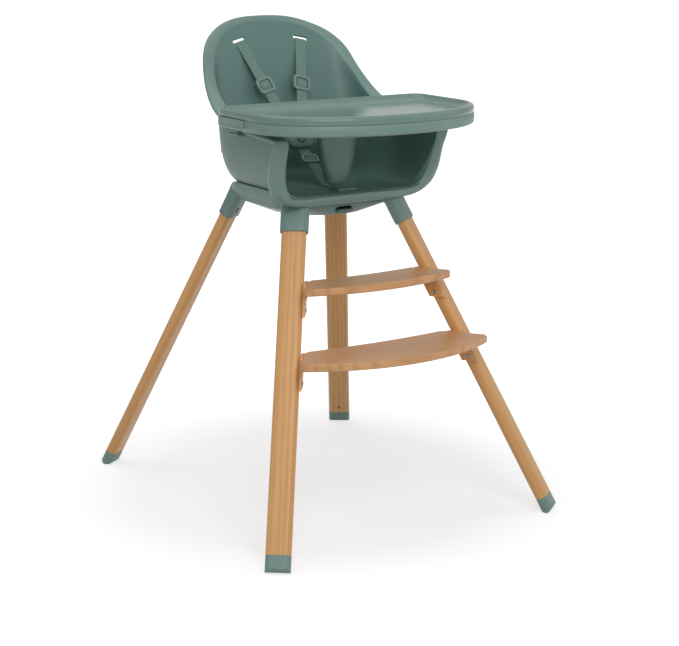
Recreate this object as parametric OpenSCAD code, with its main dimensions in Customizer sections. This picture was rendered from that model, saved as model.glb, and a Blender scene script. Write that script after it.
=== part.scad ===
// Baby high chair: a moulded bucket seat with tray and five-point harness on a four-socket hub,
// four splayed wooden legs and two wooden foot steps.
// Frame: +Z up, origin on the floor under the middle of the seat, the child faces -Y, the child's left is +X.

/* [Legs] */
// Distance of the front feet from the middle, sideways
front_foot_x = 298; // [280:1:310]
// Distance of the front feet ahead of the middle
front_foot_y = 354.5; // [330:0.5:370]
// Distance of the rear feet from the middle, sideways
rear_foot_x = 279.5; // [262:0.5:300]
// Distance of the rear feet behind the middle
rear_foot_y = 360; // [335:1:380]
// Sideways place of the socket mouths, where the wood leaves the hub
mouth_x = 123; // [118:0.5:128]
// Place of the front socket mouths ahead of the middle
mouth_front_y = 122.4; // [118:0.1:126]
// Place of the rear socket mouths behind the middle
mouth_rear_y = 127.2; // [120:0.1:132]
// Height of the socket mouths
mouth_z = 527; // [518:1:532]
// Width of a leg across its broad face
leg_w = 45; // [40:1:48]
// Thickness of a leg
leg_t = 22; // [20:1:25]
// Radius of the long edges of a leg
leg_edge_r = 9.5; // [4:0.5:9.5]
// Length of the wood held in the socket
leg_held = 46; // [34:1:50]
// Height of the foot cap along the leg
cap_h = 30; // [24:1:40]
// Radius of the cap's rocker underside
cap_sole_r = 12; // [12:0.5:18]
// Depth of the flat worn on the rocker
cap_flat = 0.8; // [0.4:0.1:2]
// Radius of the stem that holds the cap in the leg
stem_r = 5; // [4:0.5:6]
// Length of the stem
stem_h = 24; // [12:1:40]

/* [Hub] */
// Wall of the leg sockets
socket_wall = 3.5; // [3:0.5:6]
// Underside height of the dish
dish_z = 553; // [548:1:558]
// Radius of the flat underside of the dish
dish_r = 88; // [76:1:96]
// Half width of the hub's top
hub_half_x = 137; // [130:1:142]
// Half depth of the hub's top
hub_half_y = 108; // [100:1:112]
// Wall of the hub
hub_wall = 4; // [3:0.5:6]
// Radius of the seat spigot under the seat
spigot_r = 30; // [22:1:36]
// Length of the spigot below the mounting plate
spigot_h = 22; // [12:1:28]
// Half side of the seat's mounting plate
plate_half = 70; // [60:1:76]
// Thickness of the mounting plate
plate_t = 4; // [3:0.5:6]
// Width of the release paddle
paddle_w = 32; // [24:1:44]
// Travel of the release paddle
paddle_travel = 4; // [2:0.5:6]
// Radius of the bolts that hold the legs
leg_bolt_r = 3; // [2.5:0.5:3.5]
// Radius of the threaded inserts in the legs
insert_r = 5; // [4.5:0.5:6]

/* [Seat shell] */
// Height of the top of the seat back
seat_top_z = 902; // [880:1:920]
// Upper face of the seat floor
floor_z = 600; // [590:1:610]
// Thickness of the shell
shell_t = 4; // [3:0.5:6]
// Half width inside the shell above the hips
seat_half_w = 158; // [140:1:170]
// Half width of the flat floor
floor_half_w = 118; // [100:1:130]
// Height over which the side walls curve up from the floor
wall_curve_h = 70; // [40:1:90]
// Forward lean of the front opening
front_lean = 0.32; // [0:0.01:0.5]
// Half width of the rim over the arms
arm_half_w = 188; // [175:1:200]
// Rim thickness
rim_t = 4; // [3:0.5:6]

/* [Tray] */
// How far the tray reaches out past the seat's rim at each side
tray_side_out = 36; // [30:1:45]
// Place of the tray's rear edge
tray_rear_y = -15; // [-30:1:0]
// Place where the straight sides end and the front curve starts
tray_side_y = -157.7; // [-175:0.1:-140]
// Depth of the curved front
tray_front_d = 147; // [120:1:170]
// Radius of the rear corners
tray_corner_r = 26; // [15:1:40]
// Height of the tray's underside
tray_z = 723.7; // [720:0.1:730]
// Height of the tray base
tray_base_h = 19.8; // [15:0.1:26]
// Height of the tray insert
insert_h = 15; // [10:0.5:20]
// Wall of the tray parts
tray_wall = 3; // [2:0.5:5]
// Height of the dished floor over the insert's lower edge
insert_floor_h = 3.7; // [2:0.1:8]
// How far a tray latch stands out of the tray's side
latch_proud = 2.2; // [1:0.1:3]
// Room between a tray rail and the middle of its latch's stem
latch_room = 12.4; // [11:0.1:16]
// Front end of the tray latches
latch_front_y = -126; // [-140:1:-110]
// Rear end of the tray latches
latch_rear_y = -31; // [-40:1:-30]
// Width of the crotch post at the tray
post_top_w = 86; // [60:1:100]
// Width of the crotch post at its lower end
post_end_w = 42; // [30:1:60]
// Depth of the crotch post
post_d = 36; // [24:1:50]
// Middle of the crotch post, fore and aft
post_y = -72; // [-90:1:-60]
// Space between the post and the seat floor
post_floor_gap = 7; // [5:1:20]

/* [Steps] */
// Height of the upper step
upper_step_z = 453.6; // [440:0.1:470]
// Height of the lower step
lower_step_z = 336.5; // [320:0.1:350]
// Thickness of a step
step_t = 14; // [10:1:20]
// Reach of the upper step ahead of the middle
upper_reach = 248.5; // [240:0.5:265]
// Radius of the upper step's front edge
upper_front_r = 442; // [380:1:600]
// Reach of the lower step ahead of the middle
lower_reach = 336; // [325:0.5:350]
// Radius of the lower step's front edge
lower_front_r = 373; // [330:1:500]
// Place of the upper step's rear corners ahead of the middle
upper_rear_y = 157; // [150:1:165]
// Place of the lower step's rear corners ahead of the middle
lower_rear_y = 204; // [195:1:212]
// Hollow of the steps' rear edges
rear_hollow = 8; // [0:1:14]
// Thickness of the cleats that carry the steps
cleat_t = 5; // [4:0.5:10]
// Width of a cleat
cleat_w = 30; // [24:1:36]
// Reach of a cleat below its step
cleat_drop = 40; // [30:1:50]

/* [Harness] */
// Width of the webbing
web_w = 22; // [18:1:26]
// Thickness of the webbing
web_t = 1.6; // [1.2:0.1:2.4]
// Sideways place of a shoulder slot
slot_x = 68; // [50:1:90]
// Fore and aft place of the shoulder slots
slot_y = 168.5; // [160:0.5:170]
// Height of the shoulder slots
slot_z = 857; // [840:1:870]
// Fore and aft place of the buckle
buckle_y = 59; // [50:1:64]
// Height of the buckle
buckle_z = 676; // [665:1:690]
// Width of the buckle body
buckle_w = 54; // [50:1:60]
// Height of the buckle body
buckle_h = 38; // [34:1:46]
// Thickness of the buckle body
buckle_t = 12; // [9:1:16]
// Radius of the buckle's button
button_r = 9; // [6:0.5:12]
// Travel of the buckle's button
button_travel = 2; // [1:0.5:3]
// Rise of the waist straps from the buckle, in degrees
waist_rise = 10; // [4:1:12]
// Travel of a tongue out of the buckle
tongue_travel = 9; // [5:1:12]
// Length of a shoulder slider
slider_h = 27; // [20:1:32]
// Thickness of the slider's frame
slider_t = 3; // [2:0.5:5]

/* [Fits] */
// Gap left between pieces that rest on each other
rest_gap = 0.3; // [0.2:0.05:0.5]
// Clearance round a piece that slides in a pocket
slide_gap = 0.5; // [0.3:0.1:1]
// Clearance round wood in its socket and stems in their holes
wood_gap = 0.1; // [0.05:0.05:0.3]

/* [Hidden] */
$fn = 48;
hull_fn = 32;
green = [0.42, 0.55, 0.51];
dark_green = [0.35, 0.47, 0.43];
wood = [0.80, 0.59, 0.38];
step_wood = [0.71, 0.52, 0.35];
steel = [0.7, 0.7, 0.72];

// ---- shared helpers ----
function spline_at(a, b, c, d, t) =
    0.5 * (2 * b + (c - a) * t + (2 * a - 5 * b + 4 * c - d) * t * t + (3 * b - a - 3 * c + d) * t * t * t);
function flip_x(p) = [-p.x, p.y, p.z];
function unit(v) = v / norm(v);
function clamp01(t) = min(1, max(0, t));

module rounded_rect(w, h, r) {
    offset_w = w / 2 - r;
    offset_h = h / 2 - r;
    polygon([for (q = [0:3], k = [0:5]) let (a = 90 * q + 18 * k)
        [(q == 0 || q == 3 ? offset_w : -offset_w) + r * cos(a),
         (q < 2 ? offset_h : -offset_h) + r * sin(a)]]);
}

// A flat strip of webbing or plate seen on edge: points to the left, then back along the right
function strip_side(path, half) = [for (i = [0:len(path) - 1])
    let (before = path[max(i - 1, 0)], after = path[min(i + 1, len(path) - 1)],
        d1 = unit(i == 0 ? after - path[i] : path[i] - before),
        d2 = unit(i == len(path) - 1 ? path[i] - before : after - path[i]),
        n = unit([-(d1 + d2).y, (d1 + d2).x]), lift = half / (n * [-d1.y, d1.x]))
    path[i] + n * lift];
function reversed(list) = [for (i = [len(list) - 1:-1:0]) list[i]];
module strip(path, t) {
    polygon(concat(strip_side(path, t / 2), reversed(strip_side(path, -t / 2))));
}

module coil(r, wire, low, high, turns) {
    steps = turns * 10;
    ring = 6;
    points = [for (i = [0:steps], k = [0:ring - 1])
        let (a = 36 * i, b = 360 * k / ring, q = r + wire * cos(b))
        [q * cos(a), q * sin(a), low + wire + (high - low - 2 * wire) * i / steps + wire * sin(b)]];
    sides = [for (i = [0:steps - 1], k = [0:ring - 1]) let (m = (k + 1) % ring)
        [ring * i + k, ring * i + m, ring * (i + 1) + m, ring * (i + 1) + k]];
    polyhedron(points, concat(sides, [[for (k = [ring - 1:-1:0]) k]],
        [[for (k = [0:ring - 1]) ring * steps + k]]));
}

module countersunk(shank_r, head_r, length) {
    rotate_extrude() polygon([[0, 0], [head_r, 0], [shank_r, head_r - shank_r], [shank_r, length], [0, length]]);
}

// ---- legs ----
function foot_at(sx, sy) = [sx * (sy < 0 ? front_foot_x : rear_foot_x), sy < 0 ? -front_foot_y : rear_foot_y, 0];
function mouth_at(sx, sy) = [sx * mouth_x, sy < 0 ? -mouth_front_y : mouth_rear_y, mouth_z];
function socket_from(sx, sy) = norm(leg_run(sx, sy));
function leg_run(sx, sy) = mouth_at(sx, sy) - foot_at(sx, sy);
function leg_tilt(sx, sy) = acos(leg_run(sx, sy).z / norm(leg_run(sx, sy)));
function leg_turn(sx, sy) = atan2(leg_run(sx, sy).y, leg_run(sx, sy).x);

// Moves a piece drawn along +Z, with X towards the hub, onto a leg's axis
module on_leg(sx, sy) {
    translate(foot_at(sx, sy)) rotate([0, leg_tilt(sx, sy), leg_turn(sx, sy)]) children();
}

module leg(sx, sy) {
    mouth = norm(leg_run(sx, sy));
    color(wood) on_leg(sx, sy) difference() {
        translate([0, 0, cap_h]) linear_extrude(mouth + leg_held - cap_h) rounded_rect(leg_t, leg_w, leg_edge_r);
        translate([0, 0, cap_h - 1]) cylinder(r = stem_r + wood_gap, h = stem_h + 1.5);
        translate([-leg_t / 2 + 4, 0, mouth + leg_held / 2]) rotate([0, 90, 0])
            cylinder(r = insert_r + wood_gap, h = leg_t);
    }
}

module foot_cap(sx, sy) {
    centre_z = (cap_sole_r - cap_flat) / cos(leg_tilt(sx, sy));
    color(green) difference() {
        on_leg(sx, sy) {
            intersection() {
                translate([0, 0, -20]) linear_extrude(cap_h + 20) rounded_rect(leg_t, leg_w, leg_edge_r);
                union() {
                    translate([0, 0, centre_z]) rotate([90, 0, 0]) cylinder(r = cap_sole_r, h = leg_w + 10, center = true);
                    translate([-leg_t, -leg_w, centre_z]) cube([2 * leg_t, 2 * leg_w, cap_h]);
                }
            }
            translate([0, 0, cap_h - 1]) cylinder(r = stem_r, h = stem_h + 1);
        }
        translate([-500, -500, -60]) cube([1000, 1000, 60]);
    }
}

// ---- hub ----
hub_top_z = floor_z - shell_t - rest_gap;
deck_z = hub_top_z + rest_gap - plate_t - rest_gap;
socket_t = leg_t + 2 * socket_wall;
socket_w = leg_w + 2 * socket_wall;
socket_len = 90;
// Place of the seat's front opening, the lowest edge of its rim, and the plane just behind that rim
front_y = -131;
rim_low_z = floor_z - 20;
rim_back_y = front_y + 10 * front_lean + rim_t * sqrt(1 + front_lean * front_lean) + rest_gap;

module hub_body() {
    hull() {
        translate([0, 0, hub_top_z - 8]) linear_extrude(8) rounded_rect(2 * hub_half_x, 2 * hub_half_y, 40);
        translate([0, 0, hub_top_z - 25]) linear_extrude(1) rounded_rect(2 * hub_half_x - 18, 2 * hub_half_y - 14, 50);
        translate([0, 0, dish_z]) cylinder(r = dish_r, h = 1, $fn = 48);
    }
}
module socket_form(sx, sy, from, length) {
    on_leg(sx, sy) translate([0, 0, socket_from(sx, sy) + from]) linear_extrude(length)
        rounded_rect(socket_t, socket_w, leg_edge_r + socket_wall);
}

module leg_hub() {
    color(green) difference() {
        union() {
            hub_body();
            for (sx = [-1, 1], sy = [-1, 1]) socket_form(sx, sy, 0, socket_len);
        }
        // hollow inside, under the deck
        difference() {
            hull() {
                translate([0, 0, deck_z - hub_wall - 10]) linear_extrude(10)
                    rounded_rect(2 * (hub_half_x - hub_wall - 8), 2 * (hub_half_y - hub_wall - 8), 84);
                translate([0, 0, dish_z - 1]) cylinder(r = dish_r - hub_wall, h = 1, $fn = 48);
            }
            for (sx = [-1, 1], sy = [-1, 1]) socket_form(sx, sy, -20, leg_held + 26);
            translate([0, 0, dish_z - 2]) cylinder(r = spigot_r + slide_gap + hub_wall, h = 60);
            for (a = [45:90:315]) rotate(a) translate([dish_r - 14, 0, dish_z - 2]) cylinder(r = 5, h = 60);
            translate([-paddle_w / 2 - 6, -dish_r + 12, deck_z - hub_wall - 14]) cube([paddle_w + 12, 26, 20]);
        }
        // the sockets end level with the top, and the seat's front rim stands in front of them
        translate([-200, -300, hub_top_z]) cube([400, 600, 60]);
        translate([-200, rim_back_y - 100, rim_low_z - rest_gap]) cube([400, 100, 60]);
        // recess for the seat's mounting plate
        translate([0, 0, deck_z]) linear_extrude(20)
            rounded_rect(2 * (plate_half + slide_gap), 2 * (plate_half + slide_gap), 12 + slide_gap);
        translate([0, 0, dish_z - 5]) cylinder(r = spigot_r + slide_gap, h = 60);
        // pockets for the legs
        for (sx = [-1, 1], sy = [-1, 1]) {
            mouth = socket_from(sx, sy);
            on_leg(sx, sy) {
                translate([0, 0, mouth - 5]) linear_extrude(leg_held + 5 + wood_gap)
                    rounded_rect(leg_t + 2 * wood_gap, leg_w + 2 * wood_gap, leg_edge_r + wood_gap);
                translate([0, 0, mouth + leg_held / 2]) rotate([0, 90, 0])
                    cylinder(r = leg_bolt_r + wood_gap, h = 40);
                translate([socket_t / 2 - 2, 0, mouth + leg_held / 2]) rotate([0, 90, 0])
                    cylinder(r = leg_bolt_r + 3 + wood_gap, h = 30);
            }
        }
        // step for the cover, its screws, and the slot and spring seat of the release paddle
        translate([0, 0, dish_z - 1]) cylinder(r = dish_r - hub_wall + 1, h = 1 + hub_wall - 1);
        for (a = [45:90:315]) rotate(a) translate([dish_r - 14, 0, dish_z - 1]) cylinder(r = 1.5, h = 22);
        translate([-paddle_w / 2 - slide_gap, -140, paddle_low_z - slide_gap])
            cube([paddle_w + 2 * slide_gap, 80, paddle_t + paddle_travel + 2 * slide_gap]);
        translate([0, -dish_r + 25, deck_z - hub_wall - 15]) cylinder(r = spring_r + 1.5 + slide_gap, h = 9);
    }
}

paddle_t = 5;
paddle_low_z = dish_z + 7;
spring_r = 4;
cover_t = hub_wall - 1;

module hub_cover() {
    color(dark_green) difference() {
        union() {
            translate([0, 0, dish_z]) cylinder(r = dish_r - hub_wall + 1 - slide_gap, h = cover_t);
            translate([-paddle_w / 2, -dish_r + 16, dish_z + cover_t]) cube([paddle_w, 3, paddle_low_z - dish_z - cover_t - rest_gap]);
            translate([-paddle_w / 2, -dish_r + 34, dish_z + cover_t]) cube([paddle_w, 3, paddle_low_z - dish_z - cover_t - rest_gap]);
        }
        for (a = [45:90:315]) rotate(a) translate([dish_r - 14, 0, dish_z - 1]) {
            cylinder(r = 1.7, h = 10);
            cylinder(r1 = 4.2, r2 = 1.7, h = 2.6);
        }
        translate([0, 0, dish_z - 1]) cylinder(r = spigot_r - 6, h = 10);
    }
}

module cover_screws() {
    color(steel) for (a = [45:90:315]) rotate(a) translate([dish_r - 14, 0, dish_z]) countersunk(1.4, 3, 14);
}

module release_paddle() {
    color(dark_green) {
        translate([-paddle_w / 2, -hub_half_y + 5, paddle_low_z]) cube([paddle_w, 62, paddle_t]);
        translate([0, -dish_r + 25, paddle_low_z + paddle_t - 0.5]) cylinder(r = spring_r - 1.5, h = 3);
    }
}

module release_spring() {
    color(steel) translate([0, -dish_r + 25, 0])
        coil(spring_r, 0.5, paddle_low_z + paddle_t + 0.1, deck_z - hub_wall - 6.1, 4);
}

insert_len = 10;
module leg_bolts() {
    color(steel) for (sx = [-1, 1], sy = [-1, 1])
        on_leg(sx, sy) translate([0, 0, socket_from(sx, sy) + leg_held / 2]) rotate([0, 90, 0]) {
            translate([0, 0, -leg_t / 2 + 5]) cylinder(r = leg_bolt_r, h = (leg_t + socket_t) / 2 - 6);
            difference() {
                translate([0, 0, socket_t / 2 - 1.9]) cylinder(r = leg_bolt_r + 3, h = 3.4);
                translate([0, 0, socket_t / 2 - 0.2]) cylinder(r = 2, h = 3, $fn = 6);
            }
        }
}

module leg_inserts() {
    color(steel) for (sx = [-1, 1], sy = [-1, 1])
        on_leg(sx, sy) translate([-leg_t / 2 + 4.2, 0, socket_from(sx, sy) + leg_held / 2]) rotate([0, 90, 0])
            difference() {
                cylinder(r = insert_r, h = insert_len);
                translate([0, 0, -1]) cylinder(r = leg_bolt_r + wood_gap, h = insert_len + 2);
            }
}

// ---- steps ----
function leg_centre_at(sx, z) = foot_at(sx, -1) + leg_run(sx, -1) * (z / mouth_z);
leg_out = unit([leg_run(1, -1).x, leg_run(1, -1).y]);
// Outward along a front leg's broad side, and across it towards the front, for the child's left leg
radial = -leg_out;
across = [-radial.y, radial.x] * (radial.x > 0 ? -1 : 1);

// The line of a step's end, on the cleat's face: the point of it that lies at a place ahead of the middle
function end_at(z, y) = let (c = leg_centre_at(1, z), p = [c.x, c.y] + across * (leg_w / 2 + cleat_t))
    p + radial * ((y - p.y) / radial.y);
function arc_y(reach, r, x) = -reach + r - sqrt(r * r - x * x);
// Where the front arc meets the end line, found in a few steps
function front_corner(z, reach, r, x, n) = n == 0 ? end_at(z, arc_y(reach, r, x)) :
    front_corner(z, reach, r, 0.5 * (x + end_at(z, arc_y(reach, r, x)).x), n - 1);

module step_board(z, reach, front_r, rear_y) {
    mid_z = z - step_t / 2;
    front = front_corner(mid_z, reach, front_r, 170, 24);
    rear = end_at(mid_z, -rear_y);
    corner = 7;
    cut = unit(rear - front);
    side_front = front + cut * corner;
    side_rear = rear - cut * corner;
    half_front = front.x - corner;
    count = 12;
    outline = concat(
        [for (k = [-count:count]) let (x = half_front * k / count) [x, arc_y(reach, front_r, x)]],
        [side_front, side_rear],
        [for (k = [3:-1:-3]) let (u = k / 3) [(rear.x - corner) * u, -rear_y - rear_hollow * (1 - u * u)]],
        [[-side_rear.x, side_rear.y], [-side_front.x, side_front.y]]);
    color(step_wood) translate([0, 0, z - step_t]) linear_extrude(step_t) polygon(outline);
}

module upper_step() { step_board(upper_step_z, upper_reach, upper_front_r, upper_rear_y); }
module lower_step() { step_board(lower_step_z, lower_reach, lower_front_r, lower_rear_y); }

module on_cleat(sx, z) {
    c = leg_centre_at(1, z);
    turn = atan2(across.y, across.x);
    mirror([sx < 0 ? 1 : 0, 0, 0])
        translate([c.x + across.x * leg_w / 2, c.y + across.y * leg_w / 2, z]) rotate([0, 0, turn]) children();
}

module cleat(sx, top_z) {
    lean = norm([leg_run(1, -1).x, leg_run(1, -1).y]) / mouth_z;
    reach = step_t + cleat_drop;
    color(wood) difference() {
        on_cleat(sx, top_z) translate([0, 0, 0]) rotate([90, 0, 90]) linear_extrude(cleat_t)
            polygon([[-cleat_w / 2, 0], [cleat_w / 2, 0],
                [cleat_w / 2 + side_sign * lean * reach, -reach], [-cleat_w / 2 + side_sign * lean * reach, -reach]]);
        cleat_holes(sx, top_z);
    }
}
side_sign = cross(across, radial) > 0 ? 1 : -1;

module cleat_holes(sx, top_z) {
    lean = norm([leg_run(1, -1).x, leg_run(1, -1).y]) / mouth_z;
    for (drop = [step_t + 10, step_t + cleat_drop - 9])
        on_cleat(sx, top_z) translate([-0.1, side_sign * lean * drop, -drop]) rotate([0, 90, 0])
            cylinder(r = 2, h = cleat_t + 0.2);
}

module step_screws() {
    lean = norm([leg_run(1, -1).x, leg_run(1, -1).y]) / mouth_z;
    color(steel) for (sx = [-1, 1], z = [upper_step_z, lower_step_z], drop = [step_t + 10, step_t + cleat_drop - 9])
        on_cleat(sx, z) translate([cleat_t + 1.4, side_sign * lean * drop, -drop]) rotate([0, -90, 0])
            rotate_extrude() polygon([[0, 0], [2.4, 0], [3.6, 0.6], [3.6, 1.3], [1.9, 1.3], [1.9, cleat_t + 1], [0, cleat_t + 1]]);
}

// ---- seat shell ----
arm_z = tray_z - rest_gap;
function half_w(z) = let (u = clamp01((z - floor_z) / wall_curve_h))
    floor_half_w + (seat_half_w - floor_half_w) * pow(1 - pow(1 - u, 3), 1 / 3);
// How far back the inside of the seat back stands at a height
function back_y(z) = let (u = clamp01((z - floor_z) / 80), v = clamp01((z - floor_z - 90) / 150),
    w = clamp01((z - floor_z - 200) / 91))
    88 + 34 * pow(1 - pow(1 - u, 3), 1 / 3) + 32 * v * v * (3 - 2 * v) + 46 * w * w;
function opening_y(z) = front_y - front_lean * (z - floor_z + 10);
top_z = seat_top_z;
low = floor_z + 1;
// Inner and outer edge of the rim, from the middle of the back, over the arms, to the middle of the front
RIM = [
    [[0, 199, top_z - 11], [0, 204, top_z]],
    [[46, 195, top_z - 13.5], [53, 201, top_z - 2.5]],
    [[84, 183, top_z - 23], [95, 190.5, top_z - 13]],
    [[113, 165, top_z - 41], [131.5, 168, top_z - 32]],
    [[136, 141, top_z - 71], [155.5, 142.5, top_z - 60]],
    [[150, 115, top_z - 103], [170.5, 117, top_z - 99.5]],
    [[156, 86, top_z - 132], [180.5, 86, top_z - 132]],
    [[seat_half_w, 50, arm_z + 23], [arm_half_w - 1, 50, arm_z + 23]],
    [[seat_half_w, 14, arm_z + 9], [arm_half_w, 14, arm_z + 9]],
    [[seat_half_w, -16, arm_z - 0.2], [arm_half_w, -16, arm_z - 0.2]],
    [[seat_half_w, -60, arm_z - 3], [arm_half_w, -60, arm_z - 3]],
    [[seat_half_w, -112, arm_z - 8], [arm_half_w - 1, -112, arm_z - 8]],
    [[seat_half_w, opening_y(arm_z - 14) + 12, arm_z - 12], [arm_half_w - 3, opening_y(arm_z - 14) + 12, arm_z - 12]],
    [[seat_half_w, opening_y(arm_z - 20), arm_z - 20], [arm_half_w - 4, opening_y(arm_z - 20), arm_z - 18]],
    [[seat_half_w - 3.5, opening_y(floor_z + 65), floor_z + 65], [arm_half_w - 9, opening_y(floor_z + 65), floor_z + 65]],
    [[seat_half_w - 10, opening_y(floor_z + 32), floor_z + 32], [arm_half_w - 12, opening_y(floor_z + 32), floor_z + 30]],
    [[seat_half_w - 22, opening_y(floor_z + 11), floor_z + 10], [arm_half_w - 25, opening_y(floor_z + 2), floor_z]],
    [[seat_half_w - 46, opening_y(low), low], [arm_half_w - 62, opening_y(floor_z - 18), floor_z - 17.5]],
    [[60, opening_y(low), low], [62, opening_y(floor_z - 20), floor_z - 20]],
    [[0, opening_y(low), low], [0, opening_y(floor_z - 20), floor_z - 20]]];
rim_last = len(RIM) - 1;
rim_parts = 3;
wall_rows = 11;
middle = [0, -20, 0];

function rim_at(i, side, t) =
    spline_at(i == 0 ? flip_x(RIM[1][side]) : RIM[i - 1][side], RIM[i][side], RIM[i + 1][side],
        i + 1 == rim_last ? flip_x(RIM[rim_last - 1][side]) : RIM[i + 2][side], t);
function rim_half(side) = concat([for (i = [0:rim_last - 1], k = [0:rim_parts - 1]) rim_at(i, side, k / rim_parts)],
    [RIM[rim_last][side]]);
inner_half = rim_half(0);
outer_half = rim_half(1);
rim_n = len(inner_half) - 1;

// A point of the inner wall on the way down from rim point r, at share t of the height
function wall_point(r, t) =
    let (rise = pow(t, 2.2), z = floor_z + (r.z - floor_z) * rise, n = r.x / half_w(r.z),
        fan = r.y > 0 ? 1 : 1 - 0.14 * clamp01((r.z - floor_z) / (arm_z - floor_z)) * (1 - rise),
        m = r.y > 0 ? r.y / back_y(r.z) * back_y(z) : r.y / opening_y(r.z) * opening_y(z) * fan,
        draw = 1 - 0.05 * pow(1 - t, 4))
    [middle.x + (n * half_w(z) - middle.x) * draw, middle.y + (m - middle.y) * draw, z];

function wall_grid(half) = [for (r = half) [for (i = [0:wall_rows]) wall_point(r, i / wall_rows)]];
grid = wall_grid(inner_half);
function column(j) = j < 0 ? [for (p = grid[-j]) flip_x(p)] :
    j > rim_n ? [for (p = grid[2 * rim_n - j]) flip_x(p)] : grid[j];
function wall_normal(j, i) =
    let (along = column(j + 1)[i] - column(j - 1)[i], up = column(j)[i + 1] - column(j)[max(i - 1, 0)],
        n = unit(cross(up, along)))
    unit(n * min(1, i / 3) + [0, 0, -1] * max(0, 1 - i / 3));
function rim_edge(list, j) = j < 0 ? flip_x(list[-j]) : j > rim_n ? flip_x(list[2 * rim_n - j]) : list[j];

// One closed section of the shell: inner wall, rim and outer wall
function section(j) =
    let (a = inner_half[j], b = outer_half[j], out = unit(b - a),
        along = unit(rim_edge(inner_half, j + 1) - rim_edge(inner_half, j - 1)),
        under = -unit(cross(along, out)))
    concat(grid[j], [b, b + under * rim_t, a + under * rim_t + out * shell_t],
        [for (i = [wall_rows - 1:-1:0]) grid[j][i] + wall_normal(j, i) * shell_t]);

sections = [for (j = [0:rim_n]) section(j)];
section_n = len(sections[0]);
ring_n = 2 * rim_n;
function ring(j) = j <= rim_n ? sections[j] : [for (p = sections[ring_n - j]) flip_x(p)];

module shell_solid() {
    points = concat([for (j = [0:ring_n - 1]) each ring(j)],
        [[0, middle.y, floor_z], [0, middle.y, floor_z - shell_t]]);
    last = section_n - 1;
    base = ring_n * section_n;
    walls = [for (j = [0:ring_n - 1], i = [0:last - 1]) let (k = (j + 1) % ring_n)
        each [[j * section_n + i, k * section_n + i, k * section_n + i + 1],
              [j * section_n + i, k * section_n + i + 1, j * section_n + i + 1]]];
    floors = [for (j = [0:ring_n - 1]) let (k = (j + 1) % ring_n)
        each [[base, k * section_n, j * section_n],
              [base + 1, j * section_n + last, k * section_n + last]]];
    polyhedron(points, concat(walls, floors));
}

module seat_shell() {
    color(green) difference() {
        shell_solid();
        for (sx = [-1, 1]) {
            on_shoulder(sx) translate([0, shoulder_len + 3, -4]) cube([web_w + 6, 11, 40], center = true);
            on_waist(sx) waist_run_frame() cube([60, web_w + 5, 6], center = true);
        }
        for (sx = [-1, 1], sy = [-1, 1]) translate([sx * plate_screw, sy * plate_screw, floor_z - shell_t - 1])
            cylinder(r = 2, h = shell_t + 2, $fn = 24);
    }
}

plate_screw = plate_half - 14;
module seat_mount_plate() {
    color(dark_green) difference() {
        union() {
            translate([0, 0, floor_z - shell_t - plate_t]) linear_extrude(plate_t)
                rounded_rect(2 * plate_half, 2 * plate_half, 12);
            translate([0, 0, floor_z - shell_t - plate_t - spigot_h]) cylinder(r = spigot_r, h = spigot_h + 1);
        }
        translate([0, 0, floor_z - shell_t - plate_t - spigot_h - 1]) cylinder(r = spigot_r - 4, h = spigot_h);
        for (sx = [-1, 1], sy = [-1, 1]) translate([sx * plate_screw, sy * plate_screw, floor_z - shell_t - plate_t - 1])
            cylinder(r = 2, h = plate_t + 2);
    }
}

module seat_mount_screws() {
    color(steel) for (sx = [-1, 1], sy = [-1, 1])
        translate([sx * plate_screw, sy * plate_screw, floor_z + 1.6]) mirror([0, 0, 1])
            rotate_extrude() polygon([[0, 0], [2.6, 0], [4, 0.7], [4, 1.5], [1.9, 1.5],
                [1.9, 1.6 + shell_t + plate_t - 0.3], [0, 1.6 + shell_t + plate_t - 0.3]]);
}

// ---- tray ----
tray_half_w = arm_half_w + tray_side_out;
tray_front_n = 40;
function tray_outline(inset) =
    let (w = tray_half_w - inset, d = tray_front_d - inset, r = max(1, tray_corner_r - inset), y = tray_rear_y - inset)
    concat([for (k = [0:tray_front_n]) let (a = 180 + 180 * k / tray_front_n) [w * cos(a), tray_side_y + d * sin(a)]],
        [for (k = [0:6]) [w - r + r * cos(15 * k), y - r + r * sin(15 * k)]],
        [for (k = [0:6]) [-(w - r) - r * sin(15 * k), y - r + r * cos(15 * k)]]);
module tray_slab(inset, low, high) {
    translate([0, 0, low]) linear_extrude(high - low) polygon(tray_outline(inset));
}

insert_z = tray_z + tray_base_h + rest_gap;
insert_top_z = insert_z + insert_h;
rail_x = arm_half_w + 0.6;
rail_t = 5;
latch_x = rail_x + rail_t + latch_room;
latch_y = -66;
latch_top_z = tray_z + tray_base_h - rest_gap;
latch_low_z = tray_z - 13;

// Side view of a latch button, grown all round by a gap
module latch_face(grow, raise) {
    polygon([[latch_rear_y + grow, tray_z + tray_wall + 1 - grow], [latch_front_y - grow, tray_z + 8.5 - grow],
        [latch_front_y - grow, latch_top_z + raise], [latch_rear_y + grow, latch_top_z + raise]]);
}

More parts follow.
